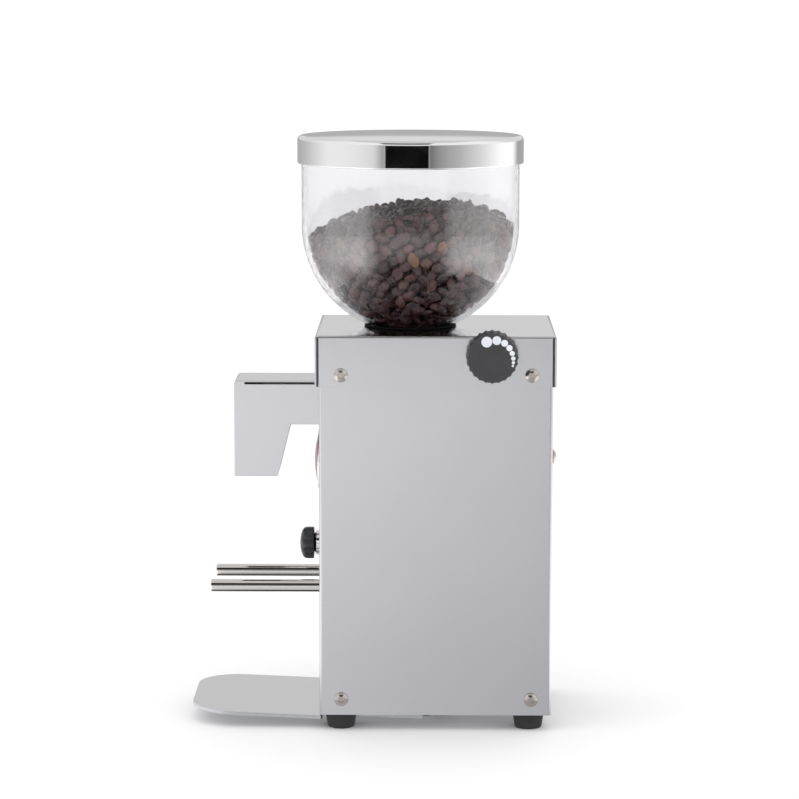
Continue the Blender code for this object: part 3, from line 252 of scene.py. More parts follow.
def world_sky():
    """A white surround. Shiny surfaces mirror two softboxes, a dark gap over the camera and a grey back instead."""
    world = bpy.data.worlds.new("studio")
    SCENE.world = world
    world.use_nodes = True
    graph = Graph(world.node_tree)
    world.node_tree.nodes.clear()
    where = graph.node("TexCoord")
    axes = graph.node("SeparateXYZ")
    graph.link(where.outputs["Generated"], axes.inputs[0])
    x, y, z = axes.outputs
    turn = share_of_turn(graph, x, y)
    peak = 2.0
    low = graph.math("MULTIPLY", graph.ramp(turn, turn_stops(RIM_LEVELS, peak)), peak)
    high = graph.math("MULTIPLY", graph.ramp(turn, turn_stops(SOFTBOX_LEVELS, peak)), peak)
    left_side = graph.spread(y, -0.45, -0.40)
    right_side = graph.spread(y, 0.29, 0.34, 1.0, 0.0)
    towards_camera = graph.spread(x, 0.0, 0.05)
    in_front = graph.math("MULTIPLY", graph.math("MULTIPLY", left_side, right_side), towards_camera)
    gap_low = graph.spread(z, math.sin(math.radians(23)), math.sin(math.radians(29)))
    gap_high = graph.spread(z, math.sin(math.radians(46)), math.sin(math.radians(66)), 1.0, 0.0)
    gap = graph.math("MULTIPLY", graph.math("MULTIPLY", gap_low, gap_high), in_front)
    high = graph.math("MULTIPLY", high, graph.math("SUBTRACT", 1.0, graph.math("MULTIPLY", gap, 0.995)))
    lifted = graph.spread(z, 0.068, 0.105, smooth=True)
    overhead = graph.spread(z, 0.78, 0.92, smooth=True)
    mirrored = graph.blend(overhead, graph.blend(lifted, low, high), 0.66)
    path = graph.node("LightPath")
    plain = graph.blend(path.outputs["Is Camera Ray"], SOFT_SKY, SHOWN_SKY)
    falling = graph.spread(z, 0.0, 0.50, 0.45 * STEEP_SKY, STEEP_SKY)
    plain = graph.blend(path.outputs["Is Diffuse Ray"], plain, falling)
    straight = graph.math("SUBTRACT", 1.0, path.outputs["Is Transmission Ray"])
    shiny = graph.math("MULTIPLY", path.outputs["Is Glossy Ray"], straight)
    background = graph.node("Background")
    background.inputs["Color"].default_value = (1.0, 1.0, 1.0, 1.0)
    graph.link(graph.blend(shiny, plain, mirrored), background.inputs["Strength"])
    out = graph.node("OutputWorld")
    graph.link(background.outputs[0], out.inputs["Surface"])


def stage_object(name, mesh, material):
    obj = bpy.data.objects.new(name, mesh)
    SCENE.collection.objects.link(obj)
    mesh.materials.append(material)
    return obj


def mirror_only(obj):
    """Leaves a studio card visible in reflections only."""
    obj.visible_camera = False
    obj.visible_diffuse = False
    obj.visible_transmission = False
    obj.visible_volume_scatter = False
    obj.visible_shadow = False


def floor():
    """The pale floor, and a glowing card under it that only reflections see: painted light standing for the floor's
    reflection, with painted shade close to the grinder in front of the knob side.
    """
    reach = 40.0

    def square(work):
        bmesh.ops.create_grid(work, x_segments=1, y_segments=1, size=reach)

    pale = bpy.data.materials.new("floor_pale")
    pale.use_nodes = True
    graph = Graph(pale.node_tree)
    shader = pale.node_tree.nodes["Principled BSDF"]
    shader.inputs["Roughness"].default_value = 0.9
    shader.inputs["Specular IOR Level"].default_value = 0.0
    shade = graph.noise(graph.place(), 1.5)
    graph.link(graph.tint(shade, (0.820, 0.820, 0.822), (0.832, 0.832, 0.832)), shader.inputs["Base Color"])
    ground = stage_object("floor", filled_mesh("floor", square), pale)
    ground.visible_glossy = False

    radius = 2.10

    def disc(work):
        bmesh.ops.create_circle(work, cap_ends=True, radius=radius, segments=96)

    lit = bpy.data.materials.new("floor_in_reflections")
    lit.use_nodes = True
    graph = Graph(lit.node_tree)
    lit.node_tree.nodes.clear()
    axes = graph.node("SeparateXYZ")
    graph.link(graph.place(), axes.inputs[0])
    x, y = axes.outputs[0], axes.outputs[1]
    away = graph.math("SQRT", graph.math("ADD", graph.math("MULTIPLY", x, x), graph.math("MULTIPLY", y, y)))
    turn = share_of_turn(graph, x, y)
    peak = 2.0
    far = graph.math("MULTIPLY", graph.ramp(turn, turn_stops(FAR_FLOOR_LEVELS, peak)), peak)
    near = graph.math("MULTIPLY", graph.ramp(turn, turn_stops(NEAR_FLOOR_LEVELS, peak)), peak)
    around = graph.blend(graph.spread(away, 0.60, 1.60, smooth=True), near, far)
    # the part that the side with the knob faces: painted shade close to the grinder, painted light growing far out and
    # towards the front
    ahead = graph.math("MULTIPLY", graph.ramp(graph.math("MULTIPLY", x, 0.5), FRONT_FLOOR_LEVELS), 1.22)
    sideways = graph.math("MULTIPLY", graph.math("ADD", y, 0.035), -0.85)
    ahead = graph.math("MAXIMUM", graph.math("ADD", ahead, sideways), 0.25)
    off_line = graph.math("ABSOLUTE", graph.math("SUBTRACT", y, 0.02))
    outside = graph.spread(graph.math("SUBTRACT", off_line, graph.math("MULTIPLY", x, 0.25)), 0.09, 0.20, smooth=True)
    beyond = graph.math("MAXIMUM", outside, graph.spread(x, -0.20, 0.0, 1.0, 0.0))
    level = graph.blend(beyond, ahead, around)
    glow = graph.node("Emission")
    graph.link(level, glow.inputs["Strength"])
    graph.link(graph.tint(beyond, (1.0, 1.0, 1.02), (1.0, 0.960, 0.972)), glow.inputs["Color"])
    out = graph.node("OutputMaterial")
    graph.link(glow.outputs[0], out.inputs["Surface"])
    card = stage_object("floor_in_reflections", filled_mesh("floor_in_reflections", disc), lit)
    card.location.z = -0.0005
    mirror_only(card)


def dark_card():
    """A low dark strip below the camera, which the upright rim of the lid mirrors."""
    radius = 2.3
    low, high = 0.10, 0.290
    start, end = math.radians(-24.6), math.radians(18.4)
    steps = 16

    def strip(work):
        rows = []
        for step in range(steps + 1):
            turn = start + (end - start) * step / steps
            x, y = radius * math.cos(turn), BURR_Y + radius * math.sin(turn)
            rows.append((work.verts.new((x, y, low)), work.verts.new((x, y, high))))
        for first, second in zip(rows, rows[1:]):
            work.faces.new((first[0], second[0], second[1], first[1]))

    dark = bpy.data.materials.new("dark_card")
    dark.use_nodes = True
    shader = dark.node_tree.nodes["Principled BSDF"]
    shader.inputs["Base Color"].default_value = (0.003, 0.003, 0.003, 1.0)
    shader.inputs["Roughness"].default_value = 1.0
    shader.inputs["Specular IOR Level"].default_value = 0.0
    mirror_only(stage_object("dark_card", filled_mesh("dark_card", strip), dark))


def lamp(name, location, target, size, energy):
    """A softbox that lights dull surfaces and isn't mirrored in shiny ones."""
    data = bpy.data.lights.new(name, "AREA")
    data.shape = "SQUARE"
    data.size = size
    data.energy = energy
    obj = bpy.data.objects.new(name, data)
    SCENE.collection.objects.link(obj)
    obj.location = location
    obj.rotation_mode = "QUATERNION"
    obj.rotation_quaternion = (Vector(target) - Vector(location)).to_track_quat("-Z", "Y")
    obj.visible_camera = False
    obj.visible_glossy = False
    obj.visible_transmission = False


def studio():
    SCENE.view_settings.view_transform = "Standard"
    world_sky()
    floor()
    dark_card()
    lamp("softbox_front", (1.0, -1.6, 1.5), (0, 0, 0.2), 1.2, 3.6)
    lamp("softbox_rear", (0.9, 1.7, 1.6), (0, 0, 0.2), 1.2, 2.8)
    lamp("softbox_above", (-0.3, 0.0, 2.3), (0, 0, 0.1), 1.4, 1.6)


# ---------------------------------------------------------------- materials
def new_material(name, **sockets):
    """A Principled material. Its keywords set the shader's own sockets."""
    made = bpy.data.materials.new(name)
    made.use_nodes = True
    shader = made.node_tree.nodes["Principled BSDF"]
    for key, value in sockets.items():
        shader.inputs[key.replace("_", " ")].default_value = (*value, 1.0) if isinstance(value, tuple) else value
    return made, Graph(made.node_tree), shader


def brushed(name, light, dark, rough, grain, depth=0.00002, metallic=1.0, clouds=14.0):
    """Metal with a fine grain. Grain is the stretch of the noise on each axis: small along the lines."""
    made, graph, shader = new_material(name, Metallic=metallic)
    lines = graph.noise(graph.place(grain), 1.0, 2.0)
    soft = graph.noise(graph.place(), clouds, 4.0)
    mottle = graph.noise(graph.place(), 420.0, 2.0)
    tone = graph.math("ADD", graph.math("MULTIPLY", lines, 0.45), graph.math("MULTIPLY", soft, 0.55))
    graph.link(graph.tint(graph.spread(tone, 0.30, 0.70), dark, light), shader.inputs["Base Color"])
    wear = graph.math("ADD", graph.math("MULTIPLY", lines, 0.6), graph.math("MULTIPLY", mottle, 0.4))
    graph.link(graph.spread(wear, 0.30, 0.70, rough[0], rough[1]), shader.inputs["Roughness"])
    graph.link(graph.bump(lines, depth, 0.03), shader.inputs["Normal"])
    return made


def polished(name, light, dark, rough, scratch=(2600, 2600, 2600), depth=0.000006):
    """Bright metal with faint scratches and finger haze."""
    made, graph, shader = new_material(name, Metallic=1.0)
    haze = graph.noise(graph.place(), 60.0, 4.0)
    scratches = graph.noise(graph.place(scratch), 1.0, 2.0)
    graph.link(graph.tint(haze, dark, light), shader.inputs["Base Color"])
    graph.link(graph.spread(haze, 0.30, 0.72, rough[0], rough[1]), shader.inputs["Roughness"])
    graph.link(graph.bump(scratches, depth, 0.25), shader.inputs["Normal"])
    return made


def moulded(name, light, dark, rough, pores=2400.0, depth=0.00003, strength=0.35, specular=0.5):
    """Moulded plastic or rubber with a fine texture and slightly uneven sheen."""
    made, graph, shader = new_material(name, **{"Specular_IOR_Level": specular})
    fine = graph.noise(graph.place(), pores, 3.0)
    broad = graph.noise(graph.place(), 130.0, 4.0)
    graph.link(graph.tint(graph.spread(broad, 0.3, 0.7), dark, light), shader.inputs["Base Color"])
    worn = graph.math("ADD", graph.math("MULTIPLY", fine, 0.5), graph.math("MULTIPLY", broad, 0.5))
    graph.link(graph.spread(worn, 0.3, 0.7, rough[0], rough[1]), shader.inputs["Roughness"])
    graph.link(graph.bump(fine, depth, strength), shader.inputs["Normal"])
    return made


def rod_metal(name):
    """Polished bar: faint turning marks, and painted reflections: two dark lines painted into its colour by which way
    the surface faces, where a long polished rod would mirror dark lines along its length.
    """
    made, graph, shader = new_material(name, Metallic=1.0)
    marks = graph.noise(graph.place((4000, 14, 4000)), 1.0, 2.0)
    haze = graph.noise(graph.place(), 60.0, 4.0)
    where = graph.node("TexCoord")
    axes = graph.node("SeparateXYZ")
    graph.link(where.outputs["Normal"], axes.inputs[0])
    lean = axes.outputs[2]
    # painted reflection: the colour turns near black in two bands, one where the surface faces a little up and one
    # where it faces well down
    above = graph.math("ABSOLUTE", graph.math("SUBTRACT", lean, 0.30))
    under = graph.math("ABSOLUTE", graph.math("ADD", lean, 0.66))
    upper_painted_reflection = graph.spread(above, 0.10, 0.17, 1.0, 0.0, smooth=True)
    lower_painted_reflection = graph.spread(under, 0.09, 0.17, 1.0, 0.0, smooth=True)
    dark = graph.math("MULTIPLY", graph.math("MAXIMUM", upper_painted_reflection, lower_painted_reflection), 0.90)
    base = graph.node("Mix", data_type="RGBA")
    graph.link(dark, base.inputs[0])
    graph.link(graph.tint(haze, (0.76, 0.73, 0.71), (0.84, 0.81, 0.79)), base.inputs[6])
    base.inputs[7].default_value = (0.030, 0.024, 0.024, 1.0)
    graph.link(base.outputs[2], shader.inputs["Base Color"])
    graph.link(graph.spread(haze, 0.30, 0.72, 0.06, 0.12), shader.inputs["Roughness"])
    graph.link(graph.bump(marks, 0.000006, 0.20), shader.inputs["Normal"])
    return made


def cast_metal(name, light, dark):
    made, graph, shader = new_material(name, Metallic=1.0)
    pits = graph.noise(graph.place(), 900.0, 4.0, 0.7)
    stain = graph.noise(graph.place(), 70.0, 4.0)
    graph.link(graph.tint(graph.spread(stain, 0.3, 0.7), dark, light), shader.inputs["Base Color"])
    graph.link(graph.spread(pits, 0.3, 0.7, 0.42, 0.62), shader.inputs["Roughness"])
    graph.link(graph.bump(pits, 0.00012, 0.5), shader.inputs["Normal"])
    return made


def banded(name, light, dark, per_metre, rough, metallic=1.0, depth=0.0001):
    """Stacked sheets or wound wire: fine bands up the Z axis."""
    made, graph, shader = new_material(name, Metallic=metallic)
    wave = graph.node("TexWave", wave_type="BANDS", bands_direction="Z")
    wave.inputs["Scale"].default_value = per_metre / 3.18
    wave.inputs["Distortion"].default_value = 0.4
    graph.link(graph.place(), wave.inputs["Vector"])
    bands = wave.outputs[1]
    stain = graph.noise(graph.place(), 110.0, 3.0)
    tone = graph.math("ADD", graph.math("MULTIPLY", bands, 0.7), graph.math("MULTIPLY", stain, 0.3))
    graph.link(graph.tint(tone, dark, light), shader.inputs["Base Color"])
    graph.link(graph.spread(stain, 0.3, 0.7, rough[0], rough[1]), shader.inputs["Roughness"])
    graph.link(graph.bump(bands, depth, 0.6), shader.inputs["Normal"])
    return made


def clear_plastic(name):
    """The bowl: clear, with a slight grey tint. Lamps and soft light pass straight through to the beans."""
    made, graph, shader = new_material(name, Transmission_Weight=1.0, IOR=1.16, Base_Color=(0.93, 0.925, 0.94))
    shader.inputs["Coat IOR"].default_value = 2.5
    shader.inputs["Coat Roughness"].default_value = 0.06
    smear = graph.noise(graph.place(), 38.0, 4.0)
    graph.link(graph.spread(smear, 0.45, 0.75, 0.0, 0.035), shader.inputs["Roughness"])
    # painted reflection: a strongly mirroring coat is laid on the wall's sides, less of it low down and more high up
    # and far round, with streaked edges; the middle band facing +X and -X is left without it, so it mirrors little and
    # the beans show clearly through it
    axes = graph.node("SeparateXYZ")
    graph.link(graph.place(), axes.inputs[0])
    reflection_edge_streaks = graph.noise(graph.place((90, 90, 9)), 1.0, 2.0)
    off_middle = graph.math("ABSOLUTE", graph.math("SUBTRACT", axes.outputs[1], BURR_Y))
    edge = graph.math("ADD", off_middle, graph.math("MULTIPLY", graph.math("SUBTRACT", reflection_edge_streaks, 0.5), 0.016))
    aside = graph.spread(edge, 0.015, 0.029, smooth=True)
    low_down = graph.spread(axes.outputs[2], BOWL_CENTRE_Z - 0.030, BOWL_CENTRE_Z - 0.016, 1.0, 0.0, smooth=True)
    far_aside = graph.spread(off_middle, 0.030, 0.046, smooth=True)
    painted_reflection_mask = graph.math("MULTIPLY", aside, graph.math("SUBTRACT", 1.0, graph.math("MULTIPLY", low_down, 0.80)))
    high_up = graph.spread(axes.outputs[2], BOWL_CENTRE_Z - 0.022, BOWL_CENTRE_Z - 0.008, 0.0, 0.32, smooth=True)
    painted_reflection_mask = graph.math("MAXIMUM", graph.math("MAXIMUM", painted_reflection_mask, high_up), graph.math("MULTIPLY", far_aside, 0.75))
    ends = graph.spread(off_middle, 0.046, 0.060, 0.80, 0.35, smooth=True)
    graph.link(graph.math("MULTIPLY", painted_reflection_mask, ends), shader.inputs["Coat Weight"])
    ripple = graph.noise(graph.place(), 22.0, 1.0)
    graph.link(graph.bump(ripple, 0.0002, 0.012), shader.inputs["Normal"])
    through = graph.node("BsdfTransparent")
    through.inputs["Color"].default_value = (0.90, 0.90, 0.905, 1.0)
    path = graph.node("LightPath")
    mixed = graph.node("MixShader")
    passing = graph.math("MAXIMUM", path.outputs["Is Shadow Ray"], path.outputs["Is Diffuse Ray"])
    graph.link(passing, mixed.inputs[0])
    graph.link(shader.outputs[0], mixed.inputs[1])
    graph.link(through.outputs[0], mixed.inputs[2])
    out = next(node for node in made.node_tree.nodes if node.type == "OUTPUT_MATERIAL")
    graph.link(mixed.outputs[0], out.inputs["Surface"])
    return made


def roasted(name):
    """Coffee beans: each has its own tone, with an oily patchy sheen and fine wrinkles."""
    made, graph, shader = new_material(name, **{"Specular_IOR_Level": 0.50})
    tone = graph.node("Attribute", attribute_name="bean_tone")
    grain = graph.noise(graph.place(), 700.0, 5.0, 0.65)
    patch = graph.noise(graph.place(), 260.0, 3.0)
    depth = graph.math("ADD", tone.outputs["Fac"], graph.math("MULTIPLY", graph.math("SUBTRACT", grain, 0.5), 0.35))
    made_ramp = graph.node("ValToRGB")
    graph.link(depth, made_ramp.inputs[0])
    points = made_ramp.color_ramp.elements
    colours = (
        (0.00, (0.012, 0.0048, 0.0050)), (0.35, (0.044, 0.0172, 0.0158)), (0.62, (0.120, 0.0500, 0.0390)),
        (0.85, (0.170, 0.0720, 0.0300)), (1.00, (0.360, 0.1500, 0.0550)),
    )
    for _ in range(len(colours) - 2):
        points.new(0.5)
    for point, (at, colour) in zip(points, colours):
        point.position = at
        point.color = (*colour, 1.0)
    graph.link(made_ramp.outputs[0], shader.inputs["Base Color"])
    graph.link(graph.spread(patch, 0.35, 0.65, 0.20, 0.36), shader.inputs["Roughness"])
    graph.link(graph.bump(grain, 0.00025, 0.5), shader.inputs["Normal"])
    return made


def make_materials():
    made = {
        "side_steel": brushed("side_steel", (0.735, 0.735, 0.755), (0.700, 0.700, 0.722), (0.19, 0.22), (2600, 2600, 36)),
        # a darker, rougher copy of the side steel for the bends: partly the folds' own rougher finish, partly painted
        # shade that dims their mirrored highlight
        "folded_steel_painted_shade": brushed("folded_steel_painted_shade", (0.62, 0.62, 0.63), (0.58, 0.58, 0.59), (0.22, 0.30), (2600, 2600, 36)),
        "top_steel": brushed("top_steel", (0.745, 0.742, 0.755), (0.705, 0.703, 0.718), (0.09, 0.13), (2600, 36, 2600)),
        "spout_steel": brushed("spout_steel", (0.745, 0.745, 0.755), (0.710, 0.710, 0.722), (0.19, 0.22), (2600, 2600, 36)),
        "tray_steel": brushed("tray_steel", (0.675, 0.675, 0.690), (0.645, 0.645, 0.660), (0.15, 0.19), (40, 2600, 2600)),
        # dull dark steel of sheared edges; it also serves as painted shade in the cap's corner grooves and on the tray
        # tongue's edges under the body
        "cut_edge_and_painted_shade": brushed("cut_edge_and_painted_shade", (0.16, 0.16, 0.165), (0.09, 0.09, 0.09), (0.45, 0.6), (900, 900, 900)),
        "screw_steel": polished("screw_steel", (0.60, 0.56, 0.53), (0.46, 0.42, 0.40), (0.12, 0.22)),
        "rod_steel": rod_metal("rod_steel"),
        "chrome": polished("chrome", (0.88, 0.88, 0.89), (0.84, 0.84, 0.85), (0.02, 0.05)),
        "lid_chrome": polished("lid_chrome", (0.88, 0.88, 0.885), (0.845, 0.845, 0.85), (0.03, 0.06)),
        "zinc_plate": brushed("zinc_plate", (0.66, 0.67, 0.68), (0.52, 0.54, 0.55), (0.36, 0.50), (300, 300, 300)),
        "cast_aluminium": cast_metal("cast_aluminium", (0.64, 0.65, 0.66), (0.50, 0.51, 0.52)),
        "burr_steel": polished("burr_steel", (0.50, 0.50, 0.51), (0.38, 0.38, 0.39), (0.22, 0.38)),
        "brass": polished("brass", (0.78, 0.60, 0.28), (0.62, 0.45, 0.20), (0.20, 0.36)),
        "laminations": banded("laminations", (0.34, 0.34, 0.36), (0.20, 0.20, 0.21), 2000.0, (0.40, 0.55)),
        "copper": banded("copper", (0.72, 0.32, 0.14), (0.42, 0.17, 0.07), 1100.0, (0.28, 0.42), depth=0.0002),
        "knob_plastic": moulded("knob_plastic", (0.046, 0.046, 0.050), (0.034, 0.034, 0.037), (0.42, 0.56)),
        "button_plastic": moulded("button_plastic", (0.024, 0.025, 0.028), (0.016, 0.017, 0.019), (0.14, 0.24)),
        "black_plastic": moulded("black_plastic", (0.030, 0.030, 0.032), (0.020, 0.020, 0.022), (0.38, 0.55)),
        "collar_plastic": moulded("collar_plastic", (0.008, 0.007, 0.008), (0.005, 0.005, 0.005), (0.50, 0.62), specular=0.04),
        "rubber": moulded("rubber", (0.034, 0.032, 0.032), (0.022, 0.021, 0.022), (0.62, 0.82), depth=0.00006),
        "grey_plastic": moulded("grey_plastic", (0.58, 0.59, 0.61), (0.48, 0.49, 0.51), (0.45, 0.60)),
        "dot_ink": moulded("dot_ink", (0.76, 0.79, 0.84), (0.66, 0.69, 0.74), (0.40, 0.55), depth=0.00001),
        "red_enamel": moulded("red_enamel", (0.62, 0.020, 0.045), (0.46, 0.010, 0.025), (0.12, 0.22), depth=0.000008),
        "clear_bowl": clear_plastic("clear_bowl"),
        "beans": roasted("beans"),
    }
    enamel = made["red_enamel"].node_tree.nodes["Principled BSDF"]
    enamel.inputs["Coat Weight"].default_value = 0.6
    enamel.inputs["Coat Roughness"].default_value = 0.05
    return made


# ---------------------------------------------------------------- mesh helpers
AXIS_TURNS = {
    "+X": Matrix.Rotation(math.radians(90), 4, "Y"),
    "-X": Matrix.Rotation(math.radians(-90), 4, "Y"),
    "+Y": Matrix.Rotation(math.radians(-90), 4, "X"),
    "-Y": Matrix.Rotation(math.radians(90), 4, "X"),
    "+Z": Matrix.Identity(4),
}
OUTLINE_PLANES = {
    "XY": Matrix.Identity(4),
    "YZ": Matrix(((0, 0, 1, 0), (1, 0, 0, 0), (0, 1, 0, 0), (0, 0, 0, 1))),
    "XZ": Matrix(((1, 0, 0, 0), (0, 0, -1, 0), (0, 1, 0, 0), (0, 0, 0, 1))),
}


def filled_mesh(name, build):
    mesh = bpy.data.meshes.new(name)
    work = bmesh.new()
    build(work)
    work.to_mesh(mesh)
    work.free()
    return mesh


def loose(name, mesh):
    obj = bpy.data.objects.new(name, mesh)
    SCENE.collection.objects.link(obj)
    return obj


def filleted(corners, steps=6):
    """An outline from (x, y, radius) corners, each rounded by its own radius."""
    outline = []
    for index, (x, y, radius) in enumerate(corners):
        here = Vector((x, y))
        if not radius:
            outline.append((x, y))
            continue
        before = (Vector(corners[index - 1][:2]) - here).normalized()
        after = (Vector(corners[(index + 1) % len(corners)][:2]) - here).normalized()
        half = before.angle(after) / 2
        centre = here + (before + after).normalized() * radius / math.sin(half)
        start = here + before * radius / math.tan(half) - centre
        end = here + after * radius / math.tan(half) - centre
        swing = start.angle_signed(end)
        for step in range(steps + 1):
            point = centre + Matrix.Rotation(-swing * step / steps, 2) @ start
            outline.append((point.x, point.y))
    return outline


def arc(centre, radius, start, end, count):
    turns = [math.radians(start + (end - start) * step / count) for step in range(count + 1)]
    return [(centre[0] + radius * math.cos(a), centre[1] + radius * math.sin(a)) for a in turns]


def box(name, low, high):
    low, high = Vector(low), Vector(high)

    def build(work):
        bmesh.ops.create_cube(work, size=1.0)
        bmesh.ops.scale(work, vec=high - low, verts=work.verts)
        bmesh.ops.translate(work, vec=(low + high) / 2, verts=work.verts)

    return loose(name, filled_mesh(name, build))


def bar(name, radius, start, axis, length, sides=48):
    """A cylinder of this length from the start point along an axis."""

    def build(work):
        bmesh.ops.create_cone(work, cap_ends=True, segments=sides, radius1=radius, radius2=radius, depth=length)
        bmesh.ops.translate(work, vec=(0, 0, length / 2), verts=work.verts)
        bmesh.ops.transform(work, matrix=Matrix.Translation(start) @ AXIS_TURNS[axis], verts=work.verts)

    return loose(name, filled_mesh(name, build))


def lathe(name, profile, origin, axis, steps=96, wobble=None):
    """A turned piece from a closed (radius, height) profile. Wobble changes the radius by angle, radius and height."""
    place = Matrix.Translation(origin) @ AXIS_TURNS[axis]

    def build(work):
        rings = []
        for radius, height in profile:
            if radius < 1e-6:
                rings.append([work.verts.new(place @ Vector((0, 0, height)))])
                continue
            ring = []
            for step in range(steps):
                turn = math.tau * step / steps
                reach = radius if wobble is None else wobble(turn, radius, height)
                ring.append(work.verts.new(place @ Vector((reach * math.cos(turn), reach * math.sin(turn), height))))
            rings.append(ring)
        pairs = list(zip(rings, rings[1:]))
        if len(rings[0]) > 1 or len(rings[-1]) > 1:
            pairs.append((rings[-1], rings[0]))
        for first, second in pairs:
            for step in range(steps):
                after = (step + 1) % steps
                corners = []
                for ring, picks in ((first, (after, step)), (second, (step, after))):
                    corners += [ring[0]] if len(ring) == 1 else [ring[pick] for pick in picks]
                if len(corners) > 2:
                    work.faces.new(corners)
        bmesh.ops.recalc_face_normals(work, faces=work.faces)

    return loose(name, filled_mesh(name, build))


def extruded(name, outline, plane, low, high):
    """A flat outline, made thick between two heights on the axis across its plane."""
    stand = OUTLINE_PLANES[plane]

    def build(work):
        ends = []
        for height in (low, high):
            ends.append([work.verts.new(stand @ Vector((x, y, height))) for x, y in outline])
        count = len(outline)
        for step in range(count):
            after = (step + 1) % count
            work.faces.new((ends[0][step], ends[0][after], ends[1][after], ends[1][step]))
        work.faces.new(ends[1])
        work.faces.new(list(reversed(ends[0])))
        bmesh.ops.recalc_face_normals(work, faces=work.faces)

    return loose(name, filled_mesh(name, build))


def modified(obj, kind, **settings):
    made = obj.modifiers.new(kind.lower(), kind)
    for key, value in settings.items():
        setattr(made, key, value)
    return obj


def settle(obj):
    """Applies an object's modifiers and its matrix."""
    bpy.context.view_layer.update()
    evaluated = obj.evaluated_get(bpy.context.evaluated_depsgraph_get())
    mesh = bpy.data.meshes.new_from_object(evaluated)
    mesh.transform(obj.matrix_world)
    obj.modifiers.clear()
    obj.data = mesh
    obj.matrix_world = Matrix.Identity(4)
    return obj


def cut(obj, *tools, operation="DIFFERENCE"):
    """Cuts tools out of a piece, or joins them to it, and removes them."""
    for tool in tools:
        modified(obj, "BOOLEAN", operation=operation, object=tool, solver="EXACT")
    settle(obj)
    for tool in tools:
        bpy.data.objects.remove(tool)
    return obj


def ease(obj, width, segments=2, angle=32):
    """Rounds the sharp edges of a piece."""
    modified(
        obj, "BEVEL", width=width, segments=segments, limit_method="ANGLE", angle_limit=math.radians(angle),
        miter_outer="MITER_ARC", harden_normals=False,
    )
    return settle(obj)


def smooth(obj, angle=38):
    obj.data.shade_smooth()
    obj.data.set_sharp_from_angle(angle=math.radians(angle))
    return obj


def finish(obj, material, body, slot_name, *nodes, angle=38):
    """Gives a piece its material and body, and says which CAD nodes it stands for. The slot name is not used."""
    obj.data.materials.clear()
    obj.data.materials.append(MATERIALS[material])
    smooth(obj, angle)
    modified(obj, "WEIGHTED_NORMAL", keep_sharp=True)
    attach(obj, body)
    if nodes:
        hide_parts(*nodes)
    return obj


def joined(first, *others):
    """Adds the meshes of other pieces to the first one."""
    work = bmesh.new()
    work.from_mesh(first.data)
    for other in others:
        work.from_mesh(other.data)
        bpy.data.objects.remove(other)
    work.to_mesh(first.data)
    work.free()
    return first


def side_hole(name, y, z):
    return bar(name, SCREW_HOLE_RADIUS, (-0.07, y, z), "+X", 0.14, 24)


# ---------------------------------------------------------------- casing
def casing_wrap():
    """The front and both sides, folded from one sheet, with a flange at each rear corner."""
    flange_x = BODY_X - 0.0160
    bend = 0.0022
    path = ((-flange_x, BACK, 0), (-BODY_X, BACK, bend), (-BODY_X, FRONT, bend), (BODY_X, FRONT, bend))
    path += ((BODY_X, BACK, bend), (flange_x, BACK, 0))
    outer = filleted(path, 8)
    inside = SHEET
    path = ((-flange_x, BACK - inside, 0), (inside - BODY_X, BACK - inside, bend - inside))
    path += ((inside - BODY_X, FRONT + inside, bend - inside), (BODY_X - inside, FRONT + inside, bend - inside))
    path += ((BODY_X - inside, BACK - inside, bend - inside), (flange_x, BACK - inside, 0))
    inner = filleted(path, 8)
    wrap = extruded("casing_wrap", outer + inner[::-1], "XY", BODY_BOTTOM, BODY_TOP)
    tools = [
        box("outlet", (-0.0150, FRONT - 0.01, 0.1891), (0.0150, FRONT + 0.01, 0.2101)),
        bar("button_barrel", 0.0052, (0, FRONT - 0.01, BUTTON_Z), "+Y", 0.02),
        bar("badge_stud", 0.0024, (0, FRONT - 0.01, BADGE_Z), "+Y", 0.02),
    ]
    for side in (-1, 1):
        tools.append(bar("rod_hole", FORK_ROD_RADIUS + GAP, (side * FORK_X, FRONT - 0.01, FORK_Z), "+Y", 0.02))
        tools.append(bar("flange_hole", SCREW_HOLE_RADIUS, (side * REAR_SCREW_X, BACK - 0.005, REAR_SCREW_Z), "+Y", 0.01))
    low = (BODY_X - 0.005, KNOB_Y - 0.005, KNOB_Z - 0.005)
    tools.append(box("worm_notch", low, (BODY_X + 0.005, KNOB_Y + 0.005, BODY_TOP + 0.005)))
    tools += [side_hole("cover_hole", y, COVER_SCREWS_Z) for y in COVER_SCREWS_Y]
    tools += [side_hole("base_hole", y, BASE_SCREWS_Z) for y in BASE_SCREWS_Y]
    cut(wrap, *tools)
    ease(wrap, 0.00022)
    finish(wrap, "side_steel", "housing", "stainless_sheet", "body_wrap")
    # the bends take the darker copy of the side steel, as painted shade on their bright mirrored strip
    wrap.data.materials.append(MATERIALS["folded_steel_painted_shade"])
    for face in wrap.data.polygons:
        if abs(face.normal.x) < 0.985 and abs(face.normal.y) < 0.985 and abs(face.normal.z) < 0.10:
            face.material_index = 1


